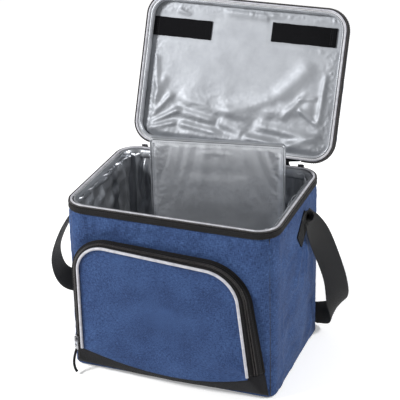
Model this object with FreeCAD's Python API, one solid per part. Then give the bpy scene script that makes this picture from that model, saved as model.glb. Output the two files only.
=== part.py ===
"""Soft insulated cooler bag, standing open: tub-shaped body with a foam wall and a foil liner, a zip-round
lid on a fabric hinge, a zipped front pocket, a loose foam divider, a carry handle and a shoulder strap.

Units are millimetres. The origin is on the floor at the centre of the base, +Z is up, the pocket faces -Y
and +X is to the right of someone who faces the pocket. The lid is drawn shut and then swung open.
"""
import FreeCAD
import Part
import math
import os

from FreeCAD import Vector

os.makedirs("parts", exist_ok=True)

# ---------------------------------------------------------------- driving dimensions
BODY_H = 276.0            # floor to the top edge of the fabric
RIM_W, RIM_D = 329.0, 236.0
BASE_W, BASE_D = 326.0, 226.0
RIM_CORNER = 33.0         # corner radius at the rim and of the lid
BASE_CORNER = 14.0        # corner radius at the floor

FABRIC = 1.2              # outer polyester
FOAM = 7.0                # foam sheet in walls, base and lid roof
SIDE_FOAM = 3.0           # thinner foam behind the lid's side band
LINER = 0.8               # foil liner
BOARD = 2.0               # plastic stiffener in the base
GAP = 0.2                 # air between layers
SEAM = 0.4                # width of a corner seam

PIPING_W, PIPING_H = 4.6, 2.8   # piping on the rim and on the lid's edge
COLLAR_INNER = 11.1       # the liner's collar, measured in from the fabric
COLLAR_H = 13.0
TAPE_W, TAPE_T = 11.0, 1.0      # zip tape
COIL_R = 1.2              # zip coil
LID_BASE = BODY_H + 3.0   # height at which lid and body meet
LID_H = 24.0
LID_TOP = LID_BASE + LID_H

HINGE_W = 236.0           # width of the fabric hinge
AXIS_Y = RIM_D / 2 + 3.0
AXIS_Z = BODY_H + 9.0
LID_OPEN = 113.0          # degrees that the lid is swung open
LID_SAG = 15.0            # the open lid hangs this far to the right on its soft hinge

POCKET_BACK_Y = -RIM_D / 2 - 1.4
POCKET_DEPTH = 16.0
POCKET_FRONT_Y = POCKET_BACK_Y - POCKET_DEPTH
POCKET_TAPER = 19.0       # the pocket is this much narrower at its face, on the left
ZIP_SLANT = math.atan2(POCKET_DEPTH, POCKET_TAPER)
ZIP_END_Z = 45.0          # height at which the pocket zip starts and ends

WEBBING_W, WEBBING_T = 38.0, 2.0
STRAP_AXIS_Y, STRAP_AXIS_Z = 40.0, 236.0     # line through the folds where the strap leaves the two sides

DIVIDER_W, DIVIDER_H, DIVIDER_T = 211.0, 246.0, 8.0
DIVIDER_TOP = BODY_H + 55.0
DIVIDER_X, DIVIDER_Y = 16.0, 60.0
DIVIDER_YAW = 10.0

HANDLE_SPAN, HANDLE_RISE, HANDLE_W = 170.0, 38.0, 25.0


# ---------------------------------------------------------------- helpers
def save(name, *solids):
    """Writes one node; several solids become one compound."""
    shape = solids[0] if len(solids) == 1 else Part.makeCompound(list(solids))
    shape.exportStep("parts/%s.step" % name)


def box(x0, x1, y0, y1, z0, z1):
    return Part.makeBox(x1 - x0, y1 - y0, z1 - z0, Vector(x0, y0, z0))


def mix(a, b, share):
    return a + (b - a) * share


def line(a, b):
    return Part.LineSegment(a, b).toShape()


def first(edge):
    return edge.valueAt(edge.FirstParameter)


def last(edge):
    return edge.valueAt(edge.LastParameter)


def rounded_loop(width, depth, radius, z):
    """Closed wire of a rounded rectangle, centred on the origin, at height z."""
    x, y = width / 2 - radius, depth / 2 - radius
    edges = []
    for quarter, (cx, cy) in enumerate([(x, y), (-x, y), (-x, -y), (x, -y)]):
        turn = [math.radians(90 * quarter + step) for step in (0, 45, 90)]
        points = [Vector(cx + radius * math.cos(t), cy + radius * math.sin(t), z) for t in turn]
        arc = Part.Arc(*points).toShape()
        if edges:
            edges.append(line(last(edges[-1]), first(arc)))
        edges.append(arc)
    edges.append(line(last(edges[-1]), first(edges[0])))
    return Part.Wire(edges)


def body_block(inset, z0, z1):
    """Solid of the tapering body, moved in by inset, from z0 to z1. Its corners are tighter at the floor."""
    loops = []
    for z in (z0, z1):
        share = z / BODY_H
        width, depth = mix(BASE_W, RIM_W, share), mix(BASE_D, RIM_D, share)
        radius = mix(BASE_CORNER, RIM_CORNER, share)
        loops.append(rounded_loop(width - 2 * inset, depth - 2 * inset, radius - inset, z))
    return Part.makeLoft(loops, True, True)


def body_ring(outer, inner, z0, z1):
    """Wall between two insets of the body's outline. A negative inset stands outside the fabric."""
    return body_block(outer, z0, z1).cut(body_block(inner, z0, z1))


def rim_block(inset, z0, z1):
    """Straight-sided solid of the rim's outline, for what sits on the rim and for the lid."""
    face = Part.Face(rounded_loop(RIM_W - 2 * inset, RIM_D - 2 * inset, RIM_CORNER - inset, z0))
    return face.extrude(Vector(0, 0, z1 - z0))


def rim_ring(outer, inner, z0, z1):
    return rim_block(outer, z0, z1).cut(rim_block(inner, z0, z1))


def unzipped(ring):
    """The zip stops on each side of the fabric hinge, so its tape and coil have a break there."""
    return ring.cut(box(-HINGE_W / 2 - 1, HINGE_W / 2 + 1, RIM_D / 2 - RIM_CORNER, RIM_D, 0, 2 * BODY_H))


def opened(shape):
    """Swings a shape that is drawn in the shut lid to the lid's open rest position."""
    turned = shape.copy()
    turned.rotate(Vector(0, AXIS_Y, AXIS_Z), Vector(1, 0, 0), -LID_OPEN)
    turned.translate(Vector(LID_SAG, 0, 0))
    return turned


def cord(wire, start, run, radius):
    """Round cord swept along a wire."""
    ring = Part.Wire(Part.Circle(start, run, radius).toShape())
    return wire.makePipeShell([ring], True, False)


# ---------------------------------------------------------------- body walls
def body_fabric():
    """Four outer panels, split at the corner seams, and the base sheet."""
    wall = body_ring(0, FABRIC, FABRIC + GAP, BODY_H)
    reach = 60.0
    for sx in (-1, 1):
        for sy in (-1, 1):
            seam = box(-reach, reach, -SEAM / 2, SEAM / 2, 0, BODY_H + 1)
            seam.rotate(Vector(0, 0, 0), Vector(0, 0, 1), 45 * sx * sy)
            seam.translate(Vector(sx * (BASE_W / 2 - BASE_CORNER), sy * (BASE_D / 2 - BASE_CORNER), 0))
            wall = wall.cut(seam)
    for panel in wall.Solids:
        centre = panel.BoundBox.Center
        if abs(centre.x) > abs(centre.y):
            save("right_side_panel" if centre.x > 0 else "left_side_panel", panel)
        else:
            save("back_panel" if centre.y > 0 else "front_panel", panel)
    save("base_panel", body_block(0, 0, FABRIC))


def body_insulation():
    """Foam boards behind the flat of each panel, and the stiffener and foam in the base."""
    outer = FABRIC + GAP
    inner = outer + FOAM
    board_z = FABRIC + GAP
    foam_z = board_z + BOARD + GAP
    save("base_board", body_block(outer, board_z, board_z + BOARD))
    save("base_foam", body_block(outer, foam_z, foam_z + FOAM))
    walls = body_ring(outer, inner, foam_z + FOAM + GAP, BODY_H - GAP)
    x, y = RIM_W / 2, RIM_D / 2
    flat_x, flat_y = x - RIM_CORNER, y - RIM_CORNER
    save("front_foam", walls.common(box(-flat_x, flat_x, -y, 0, 0, BODY_H)))
    save("back_foam", walls.common(box(-flat_x, flat_x, 0, y, 0, BODY_H)))
    save("left_foam", walls.common(box(-x, 0, -flat_y, flat_y, 0, BODY_H)))
    save("right_foam", walls.common(box(0, x, -flat_y, flat_y, 0, BODY_H)))


def body_liner():
    """One welded foil tub, with a hemmed collar that rolls over the wall's top edge."""
    outer = FABRIC + FOAM + 2 * GAP
    floor = FABRIC + BOARD + FOAM + 3 * GAP
    tub = body_ring(outer, outer + LINER, floor, BODY_H - GAP)
    save("liner", tub.fuse(body_block(outer, floor, floor + LINER)).removeSplitter())
    skirt = rim_ring(COLLAR_INNER - 1.2, COLLAR_INNER, BODY_H - COLLAR_H, BODY_H + 1.2)
    roll = rim_ring(PIPING_W + 0.4, COLLAR_INNER, BODY_H, BODY_H + 1.2)
    save("liner_collar", skirt.fuse(roll).removeSplitter())


def rim():
    """Piping along the wall's top edge, zip tape outside it and the lower half of the main zip's coil."""
    top = BODY_H + PIPING_H
    save("rim_piping", rim_ring(0.1, PIPING_W, BODY_H, top))
    save("rim_zip_tape", unzipped(body_ring(-TAPE_T - 0.1, -0.1, BODY_H - TAPE_W, BODY_H)))
    save("rim_zip_coil", unzipped(rim_ring(-2 * COIL_R - 0.1, -0.1, BODY_H + GAP, top)))


# ---------------------------------------------------------------- lid
def lid():
    """Roof, side band, foam, foil tray, edge piping and the upper half of the main zip."""
    edge = LID_BASE + PIPING_H
    roof = LID_TOP - FABRIC
    foam_z = roof - 2 * GAP - FOAM
    save("lid_top_panel", opened(rim_block(0, roof, LID_TOP)))
    save("lid_side_band", opened(rim_ring(0, FABRIC, edge + GAP, roof - GAP)))
    save("lid_piping", opened(rim_ring(0.1, PIPING_W, LID_BASE, edge)))
    layer = FABRIC + GAP
    save("lid_foam", opened(rim_block(layer, foam_z, foam_z + FOAM)))
    save("lid_side_foam", opened(rim_ring(layer, layer + SIDE_FOAM, edge + GAP, foam_z - GAP)))
    outer = layer + SIDE_FOAM + GAP
    tray = rim_block(outer, edge + GAP, foam_z - GAP)
    save("lid_liner", opened(tray.cut(rim_block(outer + LINER, edge, foam_z - GAP - LINER))))
    save("lid_zip_tape", opened(unzipped(rim_ring(-TAPE_T - 0.1, -0.1, edge + GAP, edge + TAPE_W))))
    save("lid_zip_coil", opened(unzipped(rim_ring(-2 * COIL_R - 0.1, -0.1, LID_BASE, edge - GAP))))
    return foam_z - GAP - LINER


def hook_strips(ceiling):
    """Two hook-and-loop strips on the lid's liner, each sewn at its outer end."""
    depth, thick = 30.0, 1.6
    z = ceiling - GAP - thick
    for name, x0, x1, y0 in (("left_hook_strip", -157, -58, -83), ("right_hook_strip", 42, 147, -91)):
        save(name, opened(box(x0, x1, y0, y0 + depth, z, z + thick)))


def hinge_fabric():
    """One strip of fabric: its lower flap is sewn to the back panel, its upper flap to the lid's side band,
    and the free part between them is where it bends and sags."""
    half, thick = HINGE_W / 2, 1.2
    free_half = half - 14
    y = RIM_D / 2 + GAP
    save("hinge_lower_flap", box(-half, half, y, y + thick, BODY_H - 22, BODY_H + 1))
    save("hinge_upper_flap", opened(box(-half, half, y, y + thick, AXIS_Z + 2, LID_TOP - 5)))
    free = box(-free_half, free_half, AXIS_Y - thick / 2, AXIS_Y + thick / 2, BODY_H + 2, AXIS_Z - 1)
    free.translate(Vector(LID_SAG / 2, 0, 0))
    save("hinge_fabric", free)


def carry_handle():
    """Webbing handle that arches over the lid between two sewn patches, with a wrapped grip in the middle."""
    half, thick, wrap = HANDLE_SPAN / 2, 2.4, 2.2
    patch_w, patch_t, grip_half = 34.0, 2.0, 42.0
    foot = LID_TOP + GAP
    for name, x0 in (("left_handle_patch", -half - patch_w), ("right_handle_patch", half)):
        y = HANDLE_W / 2 + 2
        save(name, opened(box(x0, x0 + patch_w, -y, y, foot, foot + patch_t)))
    pivot = foot + 2 * patch_t

    def arch(inset):
        ends = Vector(inset - half, 0, pivot), Vector(half - inset, 0, pivot)
        return Part.Arc(ends[0], Vector(0, 0, pivot + HANDLE_RISE - inset), ends[1]).toShape()

    def ribbon(outer, inner, width):
        wire = Part.Wire([outer, line(last(outer), last(inner)), inner, line(first(inner), first(outer))])
        face = Part.Face(wire)
        face.translate(Vector(0, -width / 2, 0))
        return face.extrude(Vector(0, width, 0))

    save("carry_handle_webbing", opened(ribbon(arch(0), arch(thick), HANDLE_W)))
    sleeve = ribbon(arch(-wrap), arch(thick + wrap), HANDLE_W + 5)
    core = ribbon(arch(-GAP), arch(thick + GAP), HANDLE_W + 2 * GAP)
    middle = box(-grip_half, grip_half, -HANDLE_W, HANDLE_W, pivot, pivot + 2 * HANDLE_RISE)
    save("carry_handle_grip", opened(sleeve.cut(core).common(middle)))


# ---------------------------------------------------------------- front pocket
def fillet(before, corner, after, radius):
    """Start, middle and end of the arc that rounds a corner."""
    a, b = (before - corner).normalize(), (after - corner).normalize()
    half = a.getAngle(b) / 2
    run = radius / math.tan(half)
    inward = (a + b).normalize()
    return corner + a * run, corner + inward * (radius / math.sin(half) - radius), corner + b * run


def pocket_edges(y, inset=0.0):
    """Outline of the pocket at depth y, from the low left corner round the top to the low right, then the
    curved foot. It narrows from the bag's front to the pocket's face."""
    share = (POCKET_BACK_Y - y) / POCKET_DEPTH
    left = mix(-155, POCKET_TAPER - 155, share) + inset
    top_left = Vector(left, y, mix(228, 225, share) - inset)
    top_right = Vector(mix(122, 111, share) - inset, y, mix(218, 210, share) - inset)
    low_right = Vector(mix(156, 131, share) - inset, y, mix(5, 41, share) + inset)
    low_left = Vector(left, y, mix(5, 45, share) + inset)
    low_middle = Vector(mix(2, 7, share), y, mix(4, 22, share) + inset)
    left_arc = fillet(low_left, top_left, top_right, mix(60, 42, share) - inset)
    right_arc = fillet(top_left, top_right, low_right, mix(72, 53, share) - inset)
    return [
        line(low_left, left_arc[0]),
        Part.Arc(*left_arc).toShape(),
        line(left_arc[2], right_arc[0]),
        Part.Arc(*right_arc).toShape(),
        line(right_arc[2], low_right),
        Part.Arc(low_right, low_middle, low_left).toShape(),
    ]


def pocket_cord(y, lift, radius):
    """Cord along the pocket's outline without its foot, standing off the slanted band by lift."""
    edges = pocket_edges(y, -lift * math.sin(ZIP_SLANT))[:5]
    above = box(-RIM_W, RIM_W, -RIM_D, RIM_D, ZIP_END_Z + 1, BODY_H)
    pipe = cord(Part.Wire(edges), first(edges[0]), Vector(0, 0, 1), radius).common(above)
    pipe.translate(Vector(0, -lift * math.cos(ZIP_SLANT), 0))
    return pipe


def pocket():
    """Face panel with piping round it, slanted zip band in two halves with the coil between, black foot."""
    front, back = POCKET_FRONT_Y, POCKET_BACK_Y
    zip_y = (front + back) / 2
    slit = 0.6
    band = Part.makeLoft([Part.Wire(pocket_edges(y)) for y in (back, front)], True, True)
    band = band.cut(Part.makeLoft([Part.Wire(pocket_edges(y, FABRIC)) for y in (back, front)], True, True))
    upper = band.common(box(-RIM_W, RIM_W, front, back, ZIP_END_Z + GAP, BODY_H))
    save("pocket_zip_band_front", upper.common(box(-RIM_W, RIM_W, front, zip_y - slit, 0, BODY_H)))
    save("pocket_zip_band_rear", upper.common(box(-RIM_W, RIM_W, zip_y + slit, back, 0, BODY_H)))
    save("pocket_foot_band", band.common(box(-RIM_W, RIM_W, front, back, 0, ZIP_END_Z - GAP)))
    face = Part.Face(Part.Wire(pocket_edges(front)))
    face.translate(Vector(0, -GAP, 0))
    save("pocket_panel", face.extrude(Vector(0, -FABRIC, 0)))
    cord_r = 2.0
    piping = pocket_cord(front, 0, cord_r)
    piping.translate(Vector(0, -2 * GAP - FABRIC - cord_r, 0))
    save("pocket_piping", piping)
    for name, side in (("front", -1), ("rear", 1)):
        save("pocket_zip_coil_" + name, pocket_cord(zip_y + side * COIL_R, COIL_R + 0.4, COIL_R - 0.15))
    return zip_y


def pocket_slider(zip_y):
    """Zip slider low on the pocket's left edge: a channel over the coil, a bail, a metal tab and a cord pull.
    Drawn with its base on the band, x outward and y across the zip, then turned to face the slanted band."""
    left = first(pocket_edges(zip_y)[0]).x
    z0, length = 51.0, 11.0

    def placed(shape):
        shape.rotate(Vector(0, 0, 0), Vector(0, 0, 1), 270 - math.degrees(ZIP_SLANT))
        shape.translate(Vector(left, zip_y, z0))
        return shape

    channel = box(0.6, 5.0, -4.6, 4.6, 0, length).cut(box(0, 3.6, -3.2, 3.2, -1, length + 1))
    bail = box(5.0, 8.2, -1.6, 1.6, 1.0, 9.0).cut(box(4.9, 7.0, -2, 2, 2.6, 7.4))
    save("pocket_zip_slider", placed(channel.fuse(bail)))
    bar = box(5.4, 6.6, -4.0, 4.0, 4.4, 5.6)
    rails = [box(5.4, 6.6, side * 4.0 - 0.8, side * 4.0 + 0.8, -6.5, 5.6) for side in (-1, 1)]
    foot = box(5.2, 6.8, -4.8, 4.8, -12.0, -6.3)
    save("pocket_pull_tab", placed(bar.fuse(rails + [foot])))
    start = placed(Part.Vertex(6.0, 0, -13.2)).Point
    radius = 2.0
    path = Part.BSplineCurve()
    droops = [Vector(0, 0, 0), Vector(-3, -3, -14), Vector(-1, -8, -27), Vector(4, -10, -34)]
    path.interpolate([start + droop for droop in droops])
    run = path.tangent(path.FirstParameter)[0]
    save("pocket_pull_cord", cord(Part.Wire(path.toShape()), start, run, radius))


# ---------------------------------------------------------------- main zip sliders
def main_sliders():
    """Two sliders parked where the main zip ends, behind the back corners, each with a pull that hangs down.
    Drawn at the start of the right back corner's arc and mirrored for the left."""
    cx, cy = RIM_W / 2 - RIM_CORNER, RIM_D / 2 - RIM_CORNER
    plate_y = RIM_CORNER + 2 * COIL_R + 1.2
    z = BODY_H
    plate = box(-5, 5, plate_y, plate_y + 1.2, z - 1.5, z + 4.6)
    lip = box(-5, 5, RIM_CORNER + TAPE_T + 0.3, plate_y, z - 1.5, z - 0.5)
    bail = box(-2.5, 2.5, plate_y + 1.2, plate_y + 4.4, z - 1.0, z + 3.6)
    bail = bail.cut(box(-3, 3, plate_y + 1.1, plate_y + 3.2, z, z + 2.6))
    bar = box(-4.4, 4.4, plate_y + 1.5, plate_y + 2.7, z + 0.6, z + 1.8)
    rail = box(-0.8, 0.8, plate_y + 1.5, plate_y + 2.7, z - 8, z + 1.8)
    rails = [rail.translated(Vector(side * 4.0, 0, 0)) for side in (-1, 1)]
    grip = box(-4.8, 4.8, plate_y + 1.5, plate_y + 2.7, z - 27, z - 7.8)
    slider, pull = plate.fuse([lip, bail]), bar.fuse(rails + [grip])
    for shape, part in ((slider, "zip_slider"), (pull, "zip_pull")):
        shape.translate(Vector(cx, cy, 0))
        save("right_main_" + part, shape)
        save("left_main_" + part, shape.mirror(Vector(0, 0, 0), Vector(1, 0, 0)))


# ---------------------------------------------------------------- divider
def divider():
    """Loose panel: foam between two foil sheets, bound round its edge."""
    x, t = DIVIDER_W / 2, DIVIDER_T / 2
    z1 = DIVIDER_TOP
    z0 = z1 - DIVIDER_H
    sheet, edge = 0.8, 3.0

    def placed(shape):
        shape.rotate(Vector(0, 0, 0), Vector(0, 0, 1), DIVIDER_YAW)
        shape.translate(Vector(DIVIDER_X, DIVIDER_Y, 0))
        return shape

    inner = (edge - x, x - edge), (z0 + edge, z1 - edge)
    save("divider_foam", placed(box(*inner[0], -t + sheet, t - sheet, *inner[1])))
    save("divider_front_sheet", placed(box(*inner[0], -t, -t + sheet - 0.1, *inner[1])))
    save("divider_back_sheet", placed(box(*inner[0], t - sheet + 0.1, t, *inner[1])))
    hole = box(inner[0][0] - 0.1, inner[0][1] + 0.1, -t - 1, t + 1, inner[1][0] - 0.1, inner[1][1] + 0.1)
    save("divider_binding", placed(box(-x, x, -t, t, z0, z1).cut(hole)))


# ---------------------------------------------------------------- shoulder strap
STRAP_STATIONS = [
    # centre of the webbing, then the direction across its width
    ((168.7, 40, 236), (0, 1, 0)),
    ((175, 41, 226), (0.25, 0.9, 0.15)),
    ((184, 45, 205), (0.6, 0.65, 0.35)),
    ((191, 52, 180), (0.8, 0.35, 0.45)),
    ((198, 63, 149), (0.85, 0.15, 0.48)),
    ((203, 77, 114), (0.88, 0.08, 0.47)),
    ((203, 91, 79), (0.8, 0.2, 0.56)),
    ((195, 109, 41), (0.35, 0.56, 0.75)),
    ((164, 124, 22), (0, 0.1, 1)),
    ((120, 127, 21), (0, 0, 1)),
    ((-160, 127, 21), (0, 0, 1)),
    ((-225, 114, 21), (0, 0.1, 1)),
    ((-258, 92, 26), (0, 0.48, 0.87)),
    ((-270, 70, 50), (0, 0.85, 0.51)),
    ((-269, 52, 92), (0, 0.95, 0.32)),
    ((-256, 43, 130), (0, 0.99, 0.15)),
    ((-236, 40, 168), (0, 1, 0)),
    ((-205, 40, 212), (0, 1, 0)),
    ((-180, 40, 232), (0, 1, 0)),
    ((-168.7, 40, 236), (0, 1, 0)),
]


def strap_sections():
    """Thin rectangular sections, each square to the run of the webbing."""
    centres = [Vector(*centre) for centre, _ in STRAP_STATIONS]
    wires = []
    for i, (_, across) in enumerate(STRAP_STATIONS):
        run = (centres[min(i + 1, len(centres) - 1)] - centres[max(i - 1, 0)]).normalize()
        wide = Vector(*across)
        wide = (wide - run * wide.dot(run)).normalize() * (WEBBING_W / 2)
        thick = run.cross(wide).normalize() * (WEBBING_T / 2)
        corners = [centres[i] + wide * a + thick * b for a, b in ((1, 1), (1, -1), (-1, -1), (-1, 1))]
        wires.append(Part.makePolygon(corners + corners[:1]))
    return wires


def skinned(sections):
    """Solid with straight-ruled faces from each section to the next."""
    faces = [Part.Face(sections[0]), Part.Face(sections[-1])]
    for near, far in zip(sections, sections[1:]):
        faces += [Part.makeRuledSurface(a, b) for a, b in zip(near.Edges, far.Edges)]
    shell = Part.makeShell(faces)
    shell.sewShape()
    solid = Part.makeSolid(shell)
    if solid.Volume < 0:
        solid.reverse()
    return solid


def shoulder_strap():
    """The strap falls outside both sides and runs along the floor behind the body. Its tails are sewn to
    the side panels on a slant, and a three-bar adjuster rides on the run behind."""
    save("shoulder_strap", skinned(strap_sections()))
    side = mix(BASE_W, RIM_W, STRAP_AXIS_Z / BODY_H) / 2 + 0.4
    tail_l, tail_w, slant = 46.0, 34.0, 50.0
    for name, x0 in (("right_strap_tail", side), ("left_strap_tail", -side - WEBBING_T)):
        tail = box(x0, x0 + WEBBING_T, -tail_w / 2, tail_w / 2, -tail_l, 0)
        tail.rotate(Vector(0, 0, 0), Vector(1, 0, 0), -slant)
        tail.translate(Vector(0, STRAP_AXIS_Y, STRAP_AXIS_Z))
        save(name, tail)
    y, z, half_l, half_h = 127.0, 21.0, 14.0, 20.6
    frame = box(-half_l, half_l, y - 3.4, y + 3.4, z - half_h, z + half_h + 1.5)
    frame = frame.cut(box(-20, 20, y - 1.3, y + 1.3, z - 19.4, z + 19.4))
    for x0 in (-half_l + 3, 1.5):
        frame = frame.cut(box(x0, x0 + 9.5, y - 4, y, z - 17, z + 17))
    save("strap_adjuster", frame)


body_fabric()
body_insulation()
body_liner()
rim()
hook_strips(lid())
hinge_fabric()
carry_handle()
pocket_slider(pocket())
main_sliders()
divider()
shoulder_strap()
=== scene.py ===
import math

import bmesh
import bpy
import numpy as np
from mathutils import Matrix, Vector, noise


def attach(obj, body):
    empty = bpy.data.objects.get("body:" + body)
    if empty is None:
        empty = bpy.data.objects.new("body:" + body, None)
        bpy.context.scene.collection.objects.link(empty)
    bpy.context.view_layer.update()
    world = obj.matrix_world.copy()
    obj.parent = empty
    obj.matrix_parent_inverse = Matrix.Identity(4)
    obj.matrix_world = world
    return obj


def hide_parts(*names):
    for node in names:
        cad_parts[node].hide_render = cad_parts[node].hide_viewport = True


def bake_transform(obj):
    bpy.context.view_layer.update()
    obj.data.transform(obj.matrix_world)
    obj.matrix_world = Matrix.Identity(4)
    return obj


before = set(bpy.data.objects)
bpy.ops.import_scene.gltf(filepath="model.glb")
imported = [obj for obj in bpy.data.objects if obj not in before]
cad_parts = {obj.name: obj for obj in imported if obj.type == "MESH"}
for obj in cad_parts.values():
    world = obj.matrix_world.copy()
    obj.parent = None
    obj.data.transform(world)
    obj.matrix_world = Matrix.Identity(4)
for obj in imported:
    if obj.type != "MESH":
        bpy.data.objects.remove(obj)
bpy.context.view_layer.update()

# Lengths below are in millimetres, as in the CAD; meshes are scaled to metres when they are made.
MM = 0.001
CLOTH = 1.2
BODY_H = 276.0
RIM_W, RIM_D, RIM_CORNER = 329.0, 236.0, 33.0
BASE_W, BASE_D, BASE_CORNER = 326.0, 226.0, 14.0
SHELL_TOP, SHELL_FOOT = BODY_H - 0.8, 3.0
LINER_INSET, FLOOR_Z = 9.4, 11.8
HINGE_W, AXIS_Y, AXIS_Z = 236.0, 121.0, 285.0
LID_TOP, CEILING_Z = 303.0, 293.4
LID_OPEN, LID_SAG = 113.0, 15.0
POCKET_BACK_Y, POCKET_DEPTH, POCKET_TAPER = -119.4, 16.0, 19.0
POCKET_FACE_Y, ZIP_END_Z = -136.6, 45.0
STRAP_W, STRAP_T = 37.0, 1.9
STRAP_AXIS_Y, STRAP_AXIS_Z = 40.0, 236.0
DIVIDER_W, DIVIDER_H, DIVIDER_TOP = 211.0, 246.0, 331.0
DIVIDER_X, DIVIDER_Y, DIVIDER_YAW = 16.0, 60.0, 10.0
HANDLE_SPAN, HANDLE_RISE, HANDLE_W, HANDLE_T = 170.0, 38.0, 25.0, 2.4
RIM_POINTS, PLEAT_POINTS, COIL_POINTS, COIL_TURNS = 420, 720, 2400, 600

# One direction each, as a list of one so that it spreads over a whole path.
UP = np.array([[0.0, 0.0, 1.0]])
FORWARD = np.array([[0.0, -1.0, 0.0]])
BACKWARD = -FORWARD


# ---------------------------------------------------------------- small maths
def mix(a, b, share):
    return a + (b - a) * share


def smooth(low, high, value):
    """0 at low, 1 at high, an easy curve between. Low may be the larger one."""
    t = np.clip((np.asarray(value, float) - low) / (high - low), 0, 1)
    return t * t * (3 - 2 * t)


def bell(value, width):
    """1 at zero, falling off on both sides over the given width."""
    return np.exp(-(value / width) ** 2)


def unit(vectors):
    return vectors / np.maximum(np.linalg.norm(vectors, axis=-1, keepdims=True), 1e-9)


def joined(x, y, z):
    """Points from three coordinates, each an array or one number."""
    return np.stack(np.broadcast_arrays(x, y, z), -1).astype(float)


def rough(points, size, seed, octaves=2):
    """Smooth noise, about -1 to 1, with features of the given size in mm."""
    seed_shift, lacunarity = 7.31, 2.0
    flat = np.asarray(points, float).reshape(-1, 3) / size + seed * seed_shift
    values = [noise.fractal(Vector(p), 1.0, lacunarity, octaves) for p in flat]
    return np.array(values).reshape(np.asarray(points).shape[:-1])


def turned(points, axis, degrees, pivot=(0, 0, 0)):
    matrix = np.array(Matrix.Rotation(math.radians(degrees), 3, axis))
    return (points - np.array(pivot)) @ matrix.T + np.array(pivot)


def opened(points):
    """Takes points of the shut lid to the open rest position."""
    return turned(points, "X", -LID_OPEN, (0, AXIS_Y, AXIS_Z)) + np.array([LID_SAG, 0, 0])


def opened_way(directions):
    """The same turn for directions."""
    return turned(directions, "X", -LID_OPEN)


def spline(stations, count):
    """Smooth curve through the stations, by Catmull-Rom, sampled evenly in station number."""
    knots = np.array(stations, float)
    knots = np.vstack([2 * knots[0] - knots[1], knots, 2 * knots[-1] - knots[-2]])
    at = np.linspace(0, len(stations) - 1, count)
    index = np.minimum(at.astype(int), len(stations) - 2)
    t = (at - index)[:, None]
    a, b, c, d = (knots[index + k] for k in range(4))
    square, cube = 2 * a - 5 * b + 4 * c - d, 3 * b - a - 3 * c + d
    return 0.5 * (2 * b + (c - a) * t + square * t ** 2 + cube * t ** 3)


def around(share, width, depth, radius):
    """Points and outward normals of a rounded rectangle, anticlockwise from the middle of the back."""
    x, y = width / 2, depth / 2
    pieces, cursor = [], np.array([0.0, y])
    for corner, (sx, sy) in enumerate([(-1, 1), (-1, -1), (1, -1), (1, 1)]):
        centre = np.array([sx * (x - radius), sy * (y - radius)])
        angle = math.radians(90 * (corner + 1))
        begin = centre + radius * np.array([math.cos(angle), math.sin(angle)])
        pieces.append((np.linalg.norm(begin - cursor), cursor, begin, angle, None))
        pieces.append((radius * math.pi / 2, None, None, angle, centre))
        cursor = centre + radius * np.array([-math.sin(angle), math.cos(angle)])
    pieces.append((np.linalg.norm(cursor - [0, y]), cursor, np.array([0.0, y]), math.pi / 2, None))
    total = sum(piece[0] for piece in pieces)
    distance = np.asarray(share) % 1.0 * total
    points, normals = np.zeros((len(distance), 2)), np.zeros((len(distance), 2))
    start = 0.0
    for length, begin, end, angle, centre in pieces:
        inside = (distance >= start) & (distance <= start + length + 1e-6)
        t = (distance[inside] - start) / max(length, 1e-9)
        turn = angle + (t * math.pi / 2 if centre is not None else 0 * t)
        normal = np.stack([np.cos(turn), np.sin(turn)], -1)
        points[inside] = mix(begin, end, t[:, None]) if centre is None else centre + radius * normal
        normals[inside] = normal
        start += length
    return points, normals, total


def even(count):
    """Evenly spaced shares of a closed way round."""
    return np.arange(count) / count


def shares(count, gap=0.0):
    """Shares of the way round the rim, leaving out a gap in mm centred on the middle of the back."""
    _, _, total = around([0], RIM_W, RIM_D, RIM_CORNER)
    edge = gap / 2 / total
    return np.linspace(edge, 1 - edge, count, endpoint=gap > 0)


def rim_path(share, z, offset=0.0):
    """Points of the rim's outline at a height, moved out by offset, and the outward directions there."""
    points, normals, _ = around(share, RIM_W, RIM_D, RIM_CORNER)
    out = joined(normals[:, 0], normals[:, 1], 0)
    return joined(points[:, 0], points[:, 1], z) + out * offset, out


def wall(share, z, offset=0.0):
    """Points of the tapering body's outline at height z, moved out by offset, and their normals."""
    rise = min(max(z, 0) / BODY_H, 1)
    size = mix(BASE_W, RIM_W, rise), mix(BASE_D, RIM_D, rise), mix(BASE_CORNER, RIM_CORNER, rise)
    points, normals, _ = around(share, *size)
    points = points + normals * offset
    return joined(points[:, 0], points[:, 1], z), joined(normals[:, 0], normals[:, 1], 0)


def wall_grid(rows, columns, top, foot, offset=0.0):
    """Points [row][column] of the walls from the top down, and their outward directions."""
    layers = [wall(even(columns), z, offset) for z in np.linspace(top, foot, rows)]
    return np.stack([points for points, _ in layers]), np.stack([normals for _, normals in layers])


# ---------------------------------------------------------------- meshes
def numbered(rows, columns, wrap_rows, wrap_columns):
    """Numbers of the points of a grid, repeated where it closes, and the corners of its quads."""
    index = np.arange(rows * columns).reshape(rows, columns)
    if wrap_rows:
        index = np.vstack([index, index[:1]])
    if wrap_columns:
        index = np.hstack([index, index[:, :1]])
    quads = np.stack([index[:-1, :-1], index[:-1, 1:], index[1:, 1:], index[1:, :-1]], -1)
    return index, quads.reshape(-1, 4).tolist()


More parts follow.
